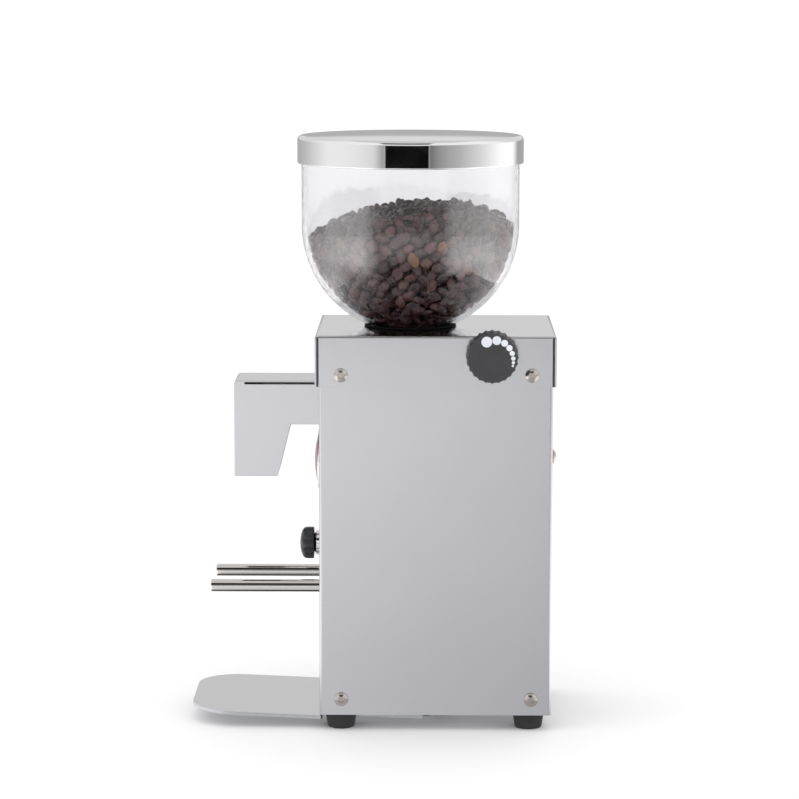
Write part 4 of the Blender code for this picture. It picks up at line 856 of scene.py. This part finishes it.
def cap():
    """The cap: a folded lid. Its front and rear flaps show their sheared ends beside the side flaps as shallow grooves
    coloured dark: partly the sheared edge's dull colour, partly painted shade for the dark gap at each corner.
    """
    height = COVER_TOP - COVER_BOTTOM

    def build(work):
        bmesh.ops.create_cube(work, size=1.0)
        under = [face for face in work.faces if face.normal.z < -0.5]
        bmesh.ops.delete(work, geom=under, context="FACES_ONLY")
        bmesh.ops.scale(work, vec=(2 * COVER_X, COVER_BACK - COVER_FRONT, height), verts=work.verts)
        middle = (0, (COVER_FRONT + COVER_BACK) / 2, (COVER_TOP + COVER_BOTTOM) / 2)
        bmesh.ops.translate(work, vec=middle, verts=work.verts)
        folds = [edge for edge in work.edges if min(vert.co.z for vert in edge.verts) > COVER_TOP - 0.0001]
        bmesh.ops.bevel(work, geom=folds, offset=0.0018, segments=8, profile=0.5, affect="EDGES")

    shell = loose("cap_shell", filled_mesh("cap_shell", build))
    modified(shell, "SOLIDIFY", thickness=SHEET, offset=-1.0, use_even_offset=True)
    settle(shell)
    flap = 0.0011
    groove = 0.0013
    depth = 0.0008
    tools = [bar("neck_hole", BOWL_NECK_RADIUS + 0.0010, (0, BURR_Y, 0.235), "+Z", 0.02, 96)]
    half = 0.0060
    notch = [(KNOB_Y - 0.0100, COVER_BOTTOM - 0.01, 0), (KNOB_Y - 0.0100, COVER_BOTTOM, 0)]
    notch += [(KNOB_Y - half, COVER_BOTTOM, 0.0035), (KNOB_Y - half, KNOB_Z + 0.006, 0.0059)]
    notch += [(KNOB_Y + half, KNOB_Z + 0.006, 0.0059), (KNOB_Y + half, COVER_BOTTOM, 0.0035)]
    notch += [(KNOB_Y + 0.0100, COVER_BOTTOM, 0), (KNOB_Y + 0.0100, COVER_BOTTOM - 0.01, 0)]
    tools.append(extruded("knob_notch", filleted(notch), "YZ", COVER_X - 0.008, COVER_X + 0.005))
    tools += [side_hole("cap_hole", y, COVER_SCREWS_Z) for y in COVER_SCREWS_Y]
    for side in (-1, 1):
        across = sorted((side * (COVER_X - depth), side * (COVER_X + 0.002)))
        for y in ((COVER_FRONT + flap, COVER_FRONT + flap + groove), (COVER_BACK - flap - groove, COVER_BACK - flap)):
            low = (across[0], y[0], COVER_BOTTOM - 0.002)
            tools.append(box("corner_groove", low, (across[1], y[1], COVER_TOP - 0.0009)))
    cut(shell, *tools)
    ease(shell, 0.00018)
    finish(shell, "top_steel", "housing", "stainless_sheet", "top_cover")
    shell.data.materials.append(MATERIALS["cut_edge_and_painted_shade"])
    shell.data.materials.append(MATERIALS["side_steel"])
    # the groove faces take the dark cut-edge steel, which here is also painted shade standing for the darkness of the
    # gap
    for face in shell.data.polygons:
        x, y = abs(face.center.x), face.center.y
        in_groove = min(y - COVER_FRONT, COVER_BACK - y) < flap + groove + 0.0001
        if in_groove and COVER_X - depth - 0.0003 < x < COVER_X - 0.0003 and face.center.z < COVER_TOP - 0.0008:
            face.material_index = 1
        elif face.center.z < COVER_TOP - 0.0012:
            face.material_index = 2
    return shell


def button_head_screws():
    """The round-headed screws with a hexagon socket, one piece for each."""
    rim = 0.0005
    rise = SCREW_HEAD - rim
    ball = (SCREW_HEAD_RADIUS**2 + rise**2) / (2 * rise)
    edge = math.degrees(math.acos(SCREW_HEAD_RADIUS / ball))
    crown = arc((0, SCREW_HEAD - ball), ball, 90, edge + 3, 12)
    profile = [(0, SCREW_HEAD), *crown[1:], (SCREW_HEAD_RADIUS - 0.00005, rim + 0.00025)]
    profile += [(SCREW_HEAD_RADIUS, rim), (SCREW_HEAD_RADIUS, 0.00035), (SCREW_HEAD_RADIUS - 0.0002, GAP)]
    profile += [(0.0019, GAP), (0.0019, -0.0060), (0, -0.0060)]
    model = lathe("screw_model", profile, (0, 0, 0), "+Z", 48)
    socket = bar("socket", 0.0021, (0, 0, SCREW_HEAD - 0.0019), "+Z", 0.004, 6)
    cut(model, socket)
    ease(model, 0.00010, 2, 40)
    places = []
    for side, sign, axis in (("left", -1, "-X"), ("right", 1, "+X")):
        for end, index in (("front", 0), ("rear", 1)):
            places.append((f"cover_screw_{end}_{side}", (sign * COVER_X, COVER_SCREWS_Y[index], COVER_SCREWS_Z), axis))
            places.append((f"base_screw_{end}_{side}", (sign * BODY_X, BASE_SCREWS_Y[index], BASE_SCREWS_Z), axis))
        places.append((f"rear_screw_{side}", (sign * REAR_SCREW_X, BACK, REAR_SCREW_Z), "+Y"))
    for index, (node, place, axis) in enumerate(places):
        mesh = model.data.copy()
        turn = Matrix.Rotation(math.radians(17 + 41 * index), 4, "Z")
        mesh.transform(Matrix.Translation(place) @ AXIS_TURNS[axis] @ turn)
        finish(loose(node + "_head", mesh), "screw_steel", "housing", "screw_steel", node, angle=30)
    bpy.data.objects.remove(model)


def feet():
    """Four tapered rubber feet with a moulded rim and a recess for the screw."""
    top = FOOT_HEIGHT
    profile = [(0, top), (0.0094, top), (0.0098, top - 0.0004), (0.0097, top - 0.0012), (0.0086, 0.0016)]
    profile += [(0.0084, 0.0009), (0.0080, 0.0003), (0.0074, 0.0), (0.0040, 0.0), (0.0036, 0.0003)]
    profile += [(0.0035, 0.0028), (0.0032, 0.0030), (0, 0.0030)]
    for end, y in zip(("front", "rear"), FOOT_Y):
        for side, x in (("left", -FOOT_X), ("right", FOOT_X)):
            node = f"foot_{end}_{side}"
            foot = lathe(node + "_rubber", profile, (x, y, 0), "+Z", 64)
            finish(foot, "rubber", "housing", "black_rubber", node)


# ---------------------------------------------------------------- spout, badge, button, fork, tray
def spout():
    """The folded spout cover with its lapped top plate; the plastic chute inside it stays the CAD node."""
    nose = FRONT - SPOUT_REACH
    snout_back = FRONT - 0.0274
    heel = FRONT - 0.0192
    rear = FRONT - GAP
    shape = [(rear, SPOUT_TOP, 0), (nose, SPOUT_TOP, 0.0022), (nose, SPOUT_BOTTOM, 0)]
    shape += [(snout_back, SPOUT_BOTTOM, 0), (heel, SPOUT_STEP, 0.0012), (rear, SPOUT_STEP, 0)]
    cover = extruded("spout_shell", filleted(shape, 6), "YZ", -SPOUT_X, SPOUT_X)
    inner = SPOUT_X - SHEET
    slope = (heel - snout_back) / (SPOUT_STEP - SPOUT_BOTTOM)
    below = SPOUT_BOTTOM - 0.0100
    hollow = [(rear + 0.01, SPOUT_TOP - SHEET, 0), (nose + SHEET, SPOUT_TOP - SHEET, 0.0012)]
    hollow += [(nose + SHEET, below, 0), (snout_back - slope * 0.0100 - 0.0011, below, 0)]
    hollow += [(heel - 0.0008, SPOUT_STEP + SHEET, 0), (rear + 0.01, SPOUT_STEP + SHEET, 0)]
    tools = [extruded("spout_hollow", filleted(hollow, 6), "YZ", -inner, inner)]
    for side in (-1, 1):
        across = sorted((side * (inner - 0.0004), side * (SPOUT_X + 0.001)))
        low = (across[0], nose + 0.0067, SPOUT_TOP - SHEET - 0.0011)
        tools.append(box("slit", low, (across[1], rear + 0.001, SPOUT_TOP - SHEET)))
    cut(cover, *tools)
    # the edges along the front and the top are folds, so every sharp edge of this piece, cut ones too, gets the same
    # rounding, wider than the casing's
    ease(cover, 0.00040, 3)
    finish(cover, "spout_steel", "housing", "stainless_sheet", "spout_cover")


def badge():
    """A plain round badge: a steel dish with a domed red disc in it."""
    out = FRONT - GAP
    dish = filleted(
        [(0.0020, -0.0040, 0), (0.0020, 0, 0), (0.0190, 0, 0.0002), (0.0190, 0.0014, 0.0004), (0.0183, 0.0022, 0.0004)]
        + [(0.0172, 0.0022, 0.0003), (0.0170, 0.0009, 0.0001)],
        4,
    )
    rim = lathe("badge_dish", [(0, -0.0040)] + dish + [(0, 0.0009)], (0, out, BADGE_Z), "-Y", 96)
    finish(rim, "chrome", "housing", "chrome", "badge_rim")
    height = 0.0044
    radius = 0.0166
    foot = 0.0009 + GAP
    dome = height - foot - 0.0008
    ball = (radius**2 + dome**2) / (2 * dome)
    rise = []
    for step in range(16):
        away = (radius - 0.0004) * step / 15
        rise.append((away, height - ball + math.sqrt(ball**2 - away**2)))
    disc = rise + [(radius - 0.0001, height - dome - 0.00015), (radius, height - dome - 0.0004), (radius, foot), (0, foot)]
    finish(lathe("badge_dome", disc, (0, out, BADGE_Z), "-Y", 96), "red_enamel", "housing", "red_enamel", "badge_disc")


def start_button():
    """The fluted push button in its steel collar."""
    collar = [(0.0078, 0.0003, 0.0001), (0.0078, 0.0039, 0.0004), (0.0072, 0.0039, 0.0003), (0.0072, 0.0009, 0)]
    collar += [(0.0033, 0.0009, 0), (0.0033, -0.0040, 0), (0.0049, -0.0040, 0), (0.0049, 0.0003, 0)]
    ring = lathe("button_ring", filleted(collar, 4), (0, FRONT, BUTTON_Z), "-Y", 96)
    finish(ring, "chrome", "housing", "chrome", "button_collar")

    dome = [(0.0, 0.0142), (0.0016, 0.01417), (0.0032, 0.01402), (0.0048, 0.01376), (0.0062, 0.01340)]
    dome += [(0.0074, 0.01298), (0.0084, 0.01250), (0.0091, 0.01200), (0.0096, 0.01145), (0.00995, 0.0108)]
    side = [(0.0101, 0.0100), (0.0102, 0.0090), (0.0102, 0.0078), (0.0102, 0.0066), (0.0101, 0.0057), (0.0099, 0.0053)]
    under = [(0.0086, 0.0053), (0.0084, 0.0055), (0.0084, 0.0083), (0.0050, 0.0083), (0.0050, 0.0056)]
    under += [(0.0060, 0.0047), (0.0069, 0.0043), (0.0066, 0.0042), (0.0030, 0.0042), (0.0030, -0.0034), (0, -0.0034)]
    flutes = 9
    depth = 0.0009

    def fluted(turn, radius, height):
        if radius < 0.0088 or height < 0.0050:
            return radius
        phase = (turn * flutes / math.tau) % 1.0 - 0.5
        scoop = max(0.0, 1.0 - (phase / 0.27) ** 2)
        fade = min(1.0, max(0.0, (radius - 0.0088) / 0.0011))
        return radius - depth * scoop * fade

    cap_piece = lathe("button_cap", dome + side + under, (0, FRONT, BUTTON_Z), "-Y", 216, fluted)
    finish(cap_piece, "button_plastic", "button", "black_plastic", "start_button", angle=32)


def fork():
    """Two polished rods with eased ends."""
    length = FORK_REACH + SHEET + GAP + 0.0120
    for side, x in (("left", -FORK_X), ("right", FORK_X)):
        profile = [(0, length), (0.0030, length), (0.0035, length - 0.00008), (0.0038, length - 0.0003)]
        profile += [(0.0040, length - 0.0008), (0.0040, length - 0.004), (0.0040, 0.001), (0.0040, 0), (0, 0)]
        rod = lathe(f"rod_{side}", profile, (x, FRONT - FORK_REACH + length, FORK_Z), "-Y", 64)
        finish(rod, "rod_steel", "housing", "polished_rod", f"fork_rod_{side}")


def tray():
    """The tray under the fork, with its tongue, bent down a little and with eased edges."""
    nose = -TRAY_REACH
    neck = 0.0015
    outline = [(-TRAY_X, neck, 0.001), (-TRAY_X, nose, TRAY_CORNER), (TRAY_X, nose, TRAY_CORNER)]
    outline += [(TRAY_X, neck, 0.001), (TRAY_TONGUE_X, neck, 0.0006), (TRAY_TONGUE_X, TRAY_TONGUE, 0.004)]
    outline += [(-TRAY_TONGUE_X, TRAY_TONGUE, 0.004), (-TRAY_TONGUE_X, neck, 0.0006)]
    plate = extruded("tray_plate", filleted(outline, 14), "XY", -TRAY_SHEET, 0)
    hinge = Matrix.Translation((0, FRONT, TRAY_TOP_AT_FRONT_PANEL)) @ Matrix.Rotation(-TRAY_TILT, 4, "X")
    plate.matrix_world = hinge
    settle(plate)
    ease(plate, 0.00030, 3)
    finish(plate, "tray_steel", "tray", "tray_steel", "grounds_tray")
    plate.data.materials.append(MATERIALS["cut_edge_and_painted_shade"])
    plate.data.materials.append(MATERIALS["zinc_plate"])
    # edge faces under the body take the dark cut-edge steel as painted shade, where the body shades them; the other
    # edges take zinc plate
    for face in plate.data.polygons:
        if abs(face.normal.z) < 0.6:
            face.material_index = 1 if face.center.y > FRONT else 2


# ---------------------------------------------------------------- knob
def knob():
    """The knurled knob with its row of growing dots."""
    rear = COVER_X + 0.0006
    depth = KNOB_FACE_X - rear
    ribs = 24
    skirt_end = depth - 0.0030
    profile = [(0, depth - 0.0001), (0.0120, depth - 0.0001), (0.0142, depth), (0.0146, depth - 0.00015)]
    profile += [(0.01495, depth - 0.0004), (0.01510, depth - 0.0009), (0.01515, depth - 0.0026)]
    profile += [(0.01530, skirt_end), (0.0157, skirt_end - 0.0002), (0.0160, skirt_end - 0.0007)]
    profile += [(0.0160, 0.0030), (0.0160, 0.0009), (0.0157, 0.0003), (0.0152, 0.0), (0.0032, 0.0), (0.0032, 0.0100), (0, 0.0100)]

    def knurled(turn, radius, height):
        if radius < 0.0154:
            return radius
        phase = (turn * ribs / math.tau) % 1.0
        wave = 0.5 - 0.5 * math.cos(math.tau * phase)
        return radius - 0.00075 * wave**0.8

    body = lathe("knob_body", profile, (rear, KNOB_Y, KNOB_Z), "+X", 24 * 12, knurled)
    finish(body, "knob_plastic", "knob", "black_plastic", "grind_knob", angle=30)
    dots = []
    edge = 0.0133
    dot = 0.0033
    turn = 109.6
    for index in range(8):
        reach = edge - dot
        at = (KNOB_FACE_X - 0.0002, KNOB_Y + (reach + 0.0006) * math.cos(math.radians(turn)),
              KNOB_Z + (reach + 0.0006) * math.sin(math.radians(turn)))
        flat = [(0, 0.00022), (dot - 0.00012, 0.00022), (dot - 0.00003, 0.00019), (dot, 0.0001), (dot, 0), (0, 0)]
        dots.append(lathe(f"dot_{index}", flat, at, "+X", 40))
        smaller = dot * DOT_SHRINK[index]
        step = (dot + smaller + 0.0002) / (edge + 0.0006 - (dot + smaller) / 2)
        turn -= math.degrees(step)
        dot = smaller
    finish(joined(*dots), "dot_ink", "knob", "black_plastic", angle=40)


DOT_SHRINK = (0.82, 0.78, 0.90, 0.84, 0.84, 0.75, 0.76, 1.0)


# ---------------------------------------------------------------- bowl, lid, beans
def bowl():
    """The clear bowl: an upright wall over a round bottom, with a neck."""
    neck_inner = BOWL_NECK_RADIUS - BOWL_WALL
    inside = BOWL_RADIUS - BOWL_WALL
    rim = LID_CORNER - 0.0037
    shoulder = 0.0300
    neck_z = BOWL_CENTRE_Z - math.sqrt(BOWL_RADIUS**2 - shoulder**2)
    low_angle = math.degrees(math.atan2(neck_z - BOWL_CENTRE_Z, shoulder))
    inner_angle = math.degrees(-math.acos((neck_inner + 0.0012) / inside))
    profile = [(BOWL_RADIUS - 0.0004, rim), (BOWL_RADIUS, rim - 0.0004)]
    profile += arc((0, BOWL_CENTRE_Z), BOWL_RADIUS, 0, low_angle, 40)
    profile += [(shoulder - 0.0006, neck_z - 0.0003), (BOWL_NECK_RADIUS + 0.0008, neck_z - 0.0003)]
    profile += [(BOWL_NECK_RADIUS, neck_z - 0.0010), (BOWL_NECK_RADIUS, NECK_END + 0.0002), (BOWL_NECK_RADIUS - 0.0003, NECK_END)]
    profile += [(neck_inner + 0.0003, NECK_END), (neck_inner, NECK_END + 0.0002)]
    start = BOWL_CENTRE_Z + inside * math.sin(math.radians(inner_angle))
    profile += [(neck_inner, start - 0.0016), (neck_inner + 0.0004, start - 0.0006)]
    profile += arc((0, BOWL_CENTRE_Z), inside, inner_angle, 0, 40)
    profile += [(inside, rim - 0.0004), (inside + 0.0004, rim)]
    shell = lathe("bowl_shell", profile, (0, BURR_Y, 0), "+Z", 160)
    finish(shell, "clear_bowl", "bowl", "clear_bowl", "bean_bowl", angle=50)


def collar():
    """The black ring that the bowl's neck stands in."""
    low = COVER_TOP + 0.0001
    ring = [(0.0286, low, 0), (0.0289, low + 0.0004, 0.0002), (0.0286, low + 0.0014, 0.0004), (0.0260, low + 0.0014, 0.0002)]
    ring += [(0.0258, low, 0)]
    piece = lathe("bowl_ring", filleted(ring, 4), (0, BURR_Y, 0), "+Z", 128)
    finish(piece, "collar_plastic", "housing", "black_plastic", "bowl_collar")


def lid():
    """The chrome lid: a shallow dome with a rounded corner and a rim that drops round the bowl."""
    wall = 0.0012
    corner = 0.0030
    edge = LID_RADIUS - corner
    inner = LID_RADIUS - wall
    crown = 0.0013
    top = []
    for step in range(20):
        away = edge * step / 19
        top.append((away, LID_TOP - crown * (away / edge) ** 2.2))
    profile = top + arc((edge, LID_CORNER - corner), corner, 84, 0, 14)
    profile += [(LID_RADIUS, LID_BOTTOM + 0.0008), (LID_RADIUS - 0.0002, LID_BOTTOM + 0.0003)]
    profile += [(LID_RADIUS - 0.0006, LID_BOTTOM), (inner + 0.0002, LID_BOTTOM), (inner, LID_BOTTOM + 0.0003)]
    profile += [(inner, LID_CORNER - 0.0036), (edge - 0.0010, LID_CORNER - 0.0023), (0, LID_TOP - wall)]
    piece = lathe("lid_shell", profile, (0, BURR_Y, 0), "+Z", 192)
    finish(piece, "lid_chrome", "lid", "chrome", "bowl_lid", angle=45)


def bean_points(around, rings):
    """Unit-bean vertices with a domed back, a flat belly and the crease along it."""
    points = []
    for ring in range(rings + 1):
        tilt = math.pi * ring / rings
        for step in range(around if 0 < ring < rings else 1):
            turn = math.tau * step / around
            x = math.cos(tilt)
            y = math.sin(tilt) * math.cos(turn)
            z = math.sin(tilt) * math.sin(turn)
            plump = 1.0 - 0.12 * x * x
            y *= plump
            if z < 0:
                z *= 0.34
                z += 0.26 * math.exp(-((y - 0.10 * math.sin(2.6 * x)) / 0.16) ** 2) * (1.0 - x * x)
            points.append(Vector((x, y, z * plump)))
    return points


def bean_faces(around, rings):
    def index(ring, step):
        if ring == 0:
            return 0
        if ring == rings:
            return 1 + (rings - 1) * around
        return 1 + (ring - 1) * around + step % around

    faces = []
    for ring in range(rings):
        for step in range(around):
            corners = [index(ring, step), index(ring, step + 1), index(ring + 1, step + 1), index(ring + 1, step)]
            unique = list(dict.fromkeys(corners))
            if len(unique) > 2:
                faces.append(unique)
    return faces


def heap_top(x, y):
    """The height of the beans' surface inside the bowl: a mound that is highest a little behind the middle."""
    along = y - HEAP_PEAK_Y
    fall = 2.7 if along < 0 else 5.8
    return HEAP_PEAK_Z - fall * along**2 - 1.2 * x**2


def bean_layer(name, places, sizes, around, rings, seed):
    """Many beans as one mesh. Each place is (position, outward direction)."""
    pick = random.Random(seed)
    model = bean_points(around, rings)
    pattern = bean_faces(around, rings)
    vertices, faces, tones = [], [], []
    nearest = [min(places, key=lambda place: (place[0] - Vector(spot)).length)[0] for spot in LIGHT_BEANS]
    light = [position for position, spot in zip(nearest, LIGHT_BEANS) if (position - Vector(spot)).length < 0.0045]
    for position, outward in places:
        size = pick.uniform(*sizes)
        shape = Vector((size, size * pick.uniform(0.68, 0.80), size * pick.uniform(0.50, 0.60)))
        flip = 1.0 if pick.random() < 0.62 else -1.0
        lean = Vector((pick.uniform(-1, 1), pick.uniform(-1, 1), pick.uniform(-1, 1))) * 0.55
        stand = (outward * flip + lean).normalized().to_track_quat("Z", "X").to_matrix()
        spin = Matrix.Rotation(pick.uniform(0, math.tau), 3, "Z")
        turn = stand @ spin
        start = len(vertices)
        for point in model:
            scaled = Vector((point.x * shape.x, point.y * shape.y, point.z * shape.z))
            vertices.append(position + turn @ scaled)
        faces += [[start + corner for corner in face] for face in pattern]
        tone = min(0.62, max(0.12, pick.gauss(0.38, 0.10)))
        if pick.random() < 0.004 or position in light:
            tone = 0.84
        tones += [tone] * len(model)
    mesh = bpy.data.meshes.new(name)
    mesh.from_pydata([tuple(v) for v in vertices], [], faces)
    attribute = mesh.attributes.new("bean_tone", "FLOAT", "POINT")
    attribute.data.foreach_set("value", tones)
    mesh.update()
    work = bmesh.new()
    work.from_mesh(mesh)
    bmesh.ops.recalc_face_normals(work, faces=work.faces)
    work.to_mesh(mesh)
    work.free()
    return loose(name, mesh)


def keep_inside(position, clearance):
    """Moves a bean's centre inward until it is this far from the bowl's wall."""
    inside = BOWL_RADIUS - BOWL_WALL - clearance
    away = Vector((position.x, position.y - BURR_Y, position.z - BOWL_CENTRE_Z))
    if away.z > 0:
        flat = Vector((away.x, away.y, 0))
        if flat.length > inside:
            flat *= inside / flat.length
        away = Vector((flat.x, flat.y, away.z))
    elif away.length > inside:
        away *= inside / away.length
    return Vector((away.x, away.y + BURR_Y, away.z + BOWL_CENTRE_Z))


def beans():
    """The coffee beans: a layer against the wall, one on the heap's top, and a filling behind them."""
    pick = random.Random(7)
    half = 0.0046
    wall = []
    golden = math.pi * (3 - math.sqrt(5))
    for depth, count in ((0.0030, 640), (0.0072, 600)):
        radius = BOWL_RADIUS - BOWL_WALL - depth
        for index in range(count):
            level = 0.32 - 1.30 * (index + 0.5) / count
            if level < -0.97:
                continue
            turn = golden * index
            jitter = Vector((pick.uniform(-1, 1), pick.uniform(-1, 1), pick.uniform(-1, 1))) * 0.0010
            ring = radius * math.sqrt(1 - min(level, 0.0) ** 2)
            place = Vector((ring * math.cos(turn), BURR_Y + ring * math.sin(turn), BOWL_CENTRE_Z + radius * level))
            place = keep_inside(place + jitter, depth)
            if place.z > heap_top(place.x, place.y) - 0.0015:
                continue
            reach = math.hypot(place.x, place.y - BURR_Y)
            if place.z < NECK_END + 0.0086 and reach > 0.0180:
                continue
            outward = Vector((place.x, place.y - BURR_Y, min(0.0, place.z - BOWL_CENTRE_Z))).normalized()
            wall.append((place, outward, depth))
    outer = [(place, outward) for place, outward, depth in wall if depth < 0.004]
    filling = [(place, outward) for place, outward, depth in wall if depth > 0.004]
    top = []
    limit = BOWL_RADIUS - BOWL_WALL - 0.0040
    for lift, count in ((-0.0010, 300), (-0.0050, 260)):
        for index in range(count):
            reach = limit * math.sqrt((index + 0.5) / count)
            turn = golden * index + lift * 900
            x = reach * math.cos(turn) + pick.uniform(-0.0009, 0.0009)
            y = BURR_Y + reach * math.sin(turn) + pick.uniform(-0.0009, 0.0009)
            bump = pick.uniform(-0.0030, 0.0028)
            place = keep_inside(Vector((x, y, heap_top(x, y) + lift + bump)), 0.0042)
            tilt = Vector((pick.uniform(-1, 1), pick.uniform(-1, 1), pick.uniform(-0.2, 1)))
            (top if lift > -0.002 else filling).append((place, tilt.normalized()))
    for level in range(3):
        for index in range(9):
            turn = math.tau * (index + 0.5 * level) / 9
            place = Vector((0.0172 * math.cos(turn), BURR_Y + 0.0172 * math.sin(turn), NECK_END + 0.0046 + 0.0032 * level))
            outer.append((place, Vector((math.cos(turn), math.sin(turn), 0))))
    for index in range(4):
        turn = math.tau * index / 4
        outer.append((Vector((0.0070 * math.cos(turn), BURR_Y + 0.0070 * math.sin(turn), NECK_END + 0.0041)), Vector((0, 0, -1))))
    sizes = (half * 0.90, half * 1.12)
    for name, places, around, rings, seed in (
        ("beans_at_wall", outer, 12, 8, 11),
        ("beans_on_top", top, 12, 8, 12),
        ("beans_behind", filling, 8, 6, 13),
    ):
        layer = bean_layer(name, places, sizes, around, rings, seed)
        confine(layer.data)
        finish(layer, "beans", "bowl", "black_plastic", angle=80)


def confine(mesh):
    """Keeps every point of the beans inside the bowl's wall and above the neck's end."""
    inside = BOWL_RADIUS - BOWL_WALL - 0.0004
    neck = BOWL_NECK_RADIUS - BOWL_WALL - 0.0004
    for vertex in mesh.vertices:
        x, y, z = vertex.co.x, vertex.co.y - BURR_Y, vertex.co.z - BOWL_CENTRE_Z
        if z < 0:
            length = math.sqrt(x * x + y * y + z * z)
            shrink = min(1.0, inside / length) if length else 1.0
        else:
            length = math.hypot(x, y)
            shrink = min(1.0, inside / length) if length else 1.0
        x, y = x * shrink, y * shrink
        if z < 0:
            z *= shrink
        reach = math.hypot(x, y)
        if z + BOWL_CENTRE_Z < NECK_END + 0.0050 and reach > neck:
            x, y = x * neck / reach, y * neck / reach
        vertex.co = (x, y + BURR_Y, max(z + BOWL_CENTRE_Z, NECK_END + 0.0004))


# ---------------------------------------------------------------- CAD nodes that stay
KEPT = {
    "rear_panel": "side_steel",
    "base_plate": "top_steel",
    "grounds_chute": "black_plastic",
    "start_switch": "black_plastic",
    "fork_clamp": "zinc_plate",
    "tray_rail_left": "zinc_plate",
    "tray_rail_right": "zinc_plate",
    "chassis_frame": "zinc_plate",
    "motor_can": "zinc_plate",
    "motor_end_cap": "cast_aluminium",
    "bearing_lower": "burr_steel",
    "bearing_upper": "burr_steel",
    "stator_core": "laminations",
    "rotor_core": "laminations",
    "winding_lower": "copper",
    "winding_upper": "copper",
    "grinding_chamber": "cast_aluminium",
    "worm_bracket": "zinc_plate",
    "capacitor": "grey_plastic",
    "terminal_block": "grey_plastic",
    "power_inlet": "black_plastic",
    "rocker_frame": "black_plastic",
    "power_rocker": "black_plastic",
    "motor_shaft": "burr_steel",
    "cooling_fan": "black_plastic",
    "lower_burr_carrier": "cast_aluminium",
    "upper_burr_carrier": "cast_aluminium",
    "lower_burr": "burr_steel",
    "upper_burr": "burr_steel",
    "adjusting_ring": "brass",
    "worm_shaft": "brass",
}


def finish_kept_nodes():
    """Gives the CAD nodes that stay visible their materials and softly rounded edges."""
    for node, material in KEPT.items():
        obj = NODES[node]
        for slot in obj.material_slots:
            slot.material = MATERIALS[material]
        modified(obj, "WELD", merge_threshold=0.00002)
        modified(
            obj, "BEVEL", width=0.00020, segments=2, limit_method="ANGLE", angle_limit=math.radians(40),
            use_clamp_overlap=True, harden_normals=False,
        )


MATERIALS = make_materials()
make_camera()
studio()
casing_wrap()
cap()
button_head_screws()
feet()
spout()
badge()
start_button()
fork()
tray()
knob()
bowl()
collar()
lid()
beans()
finish_kept_nodes()
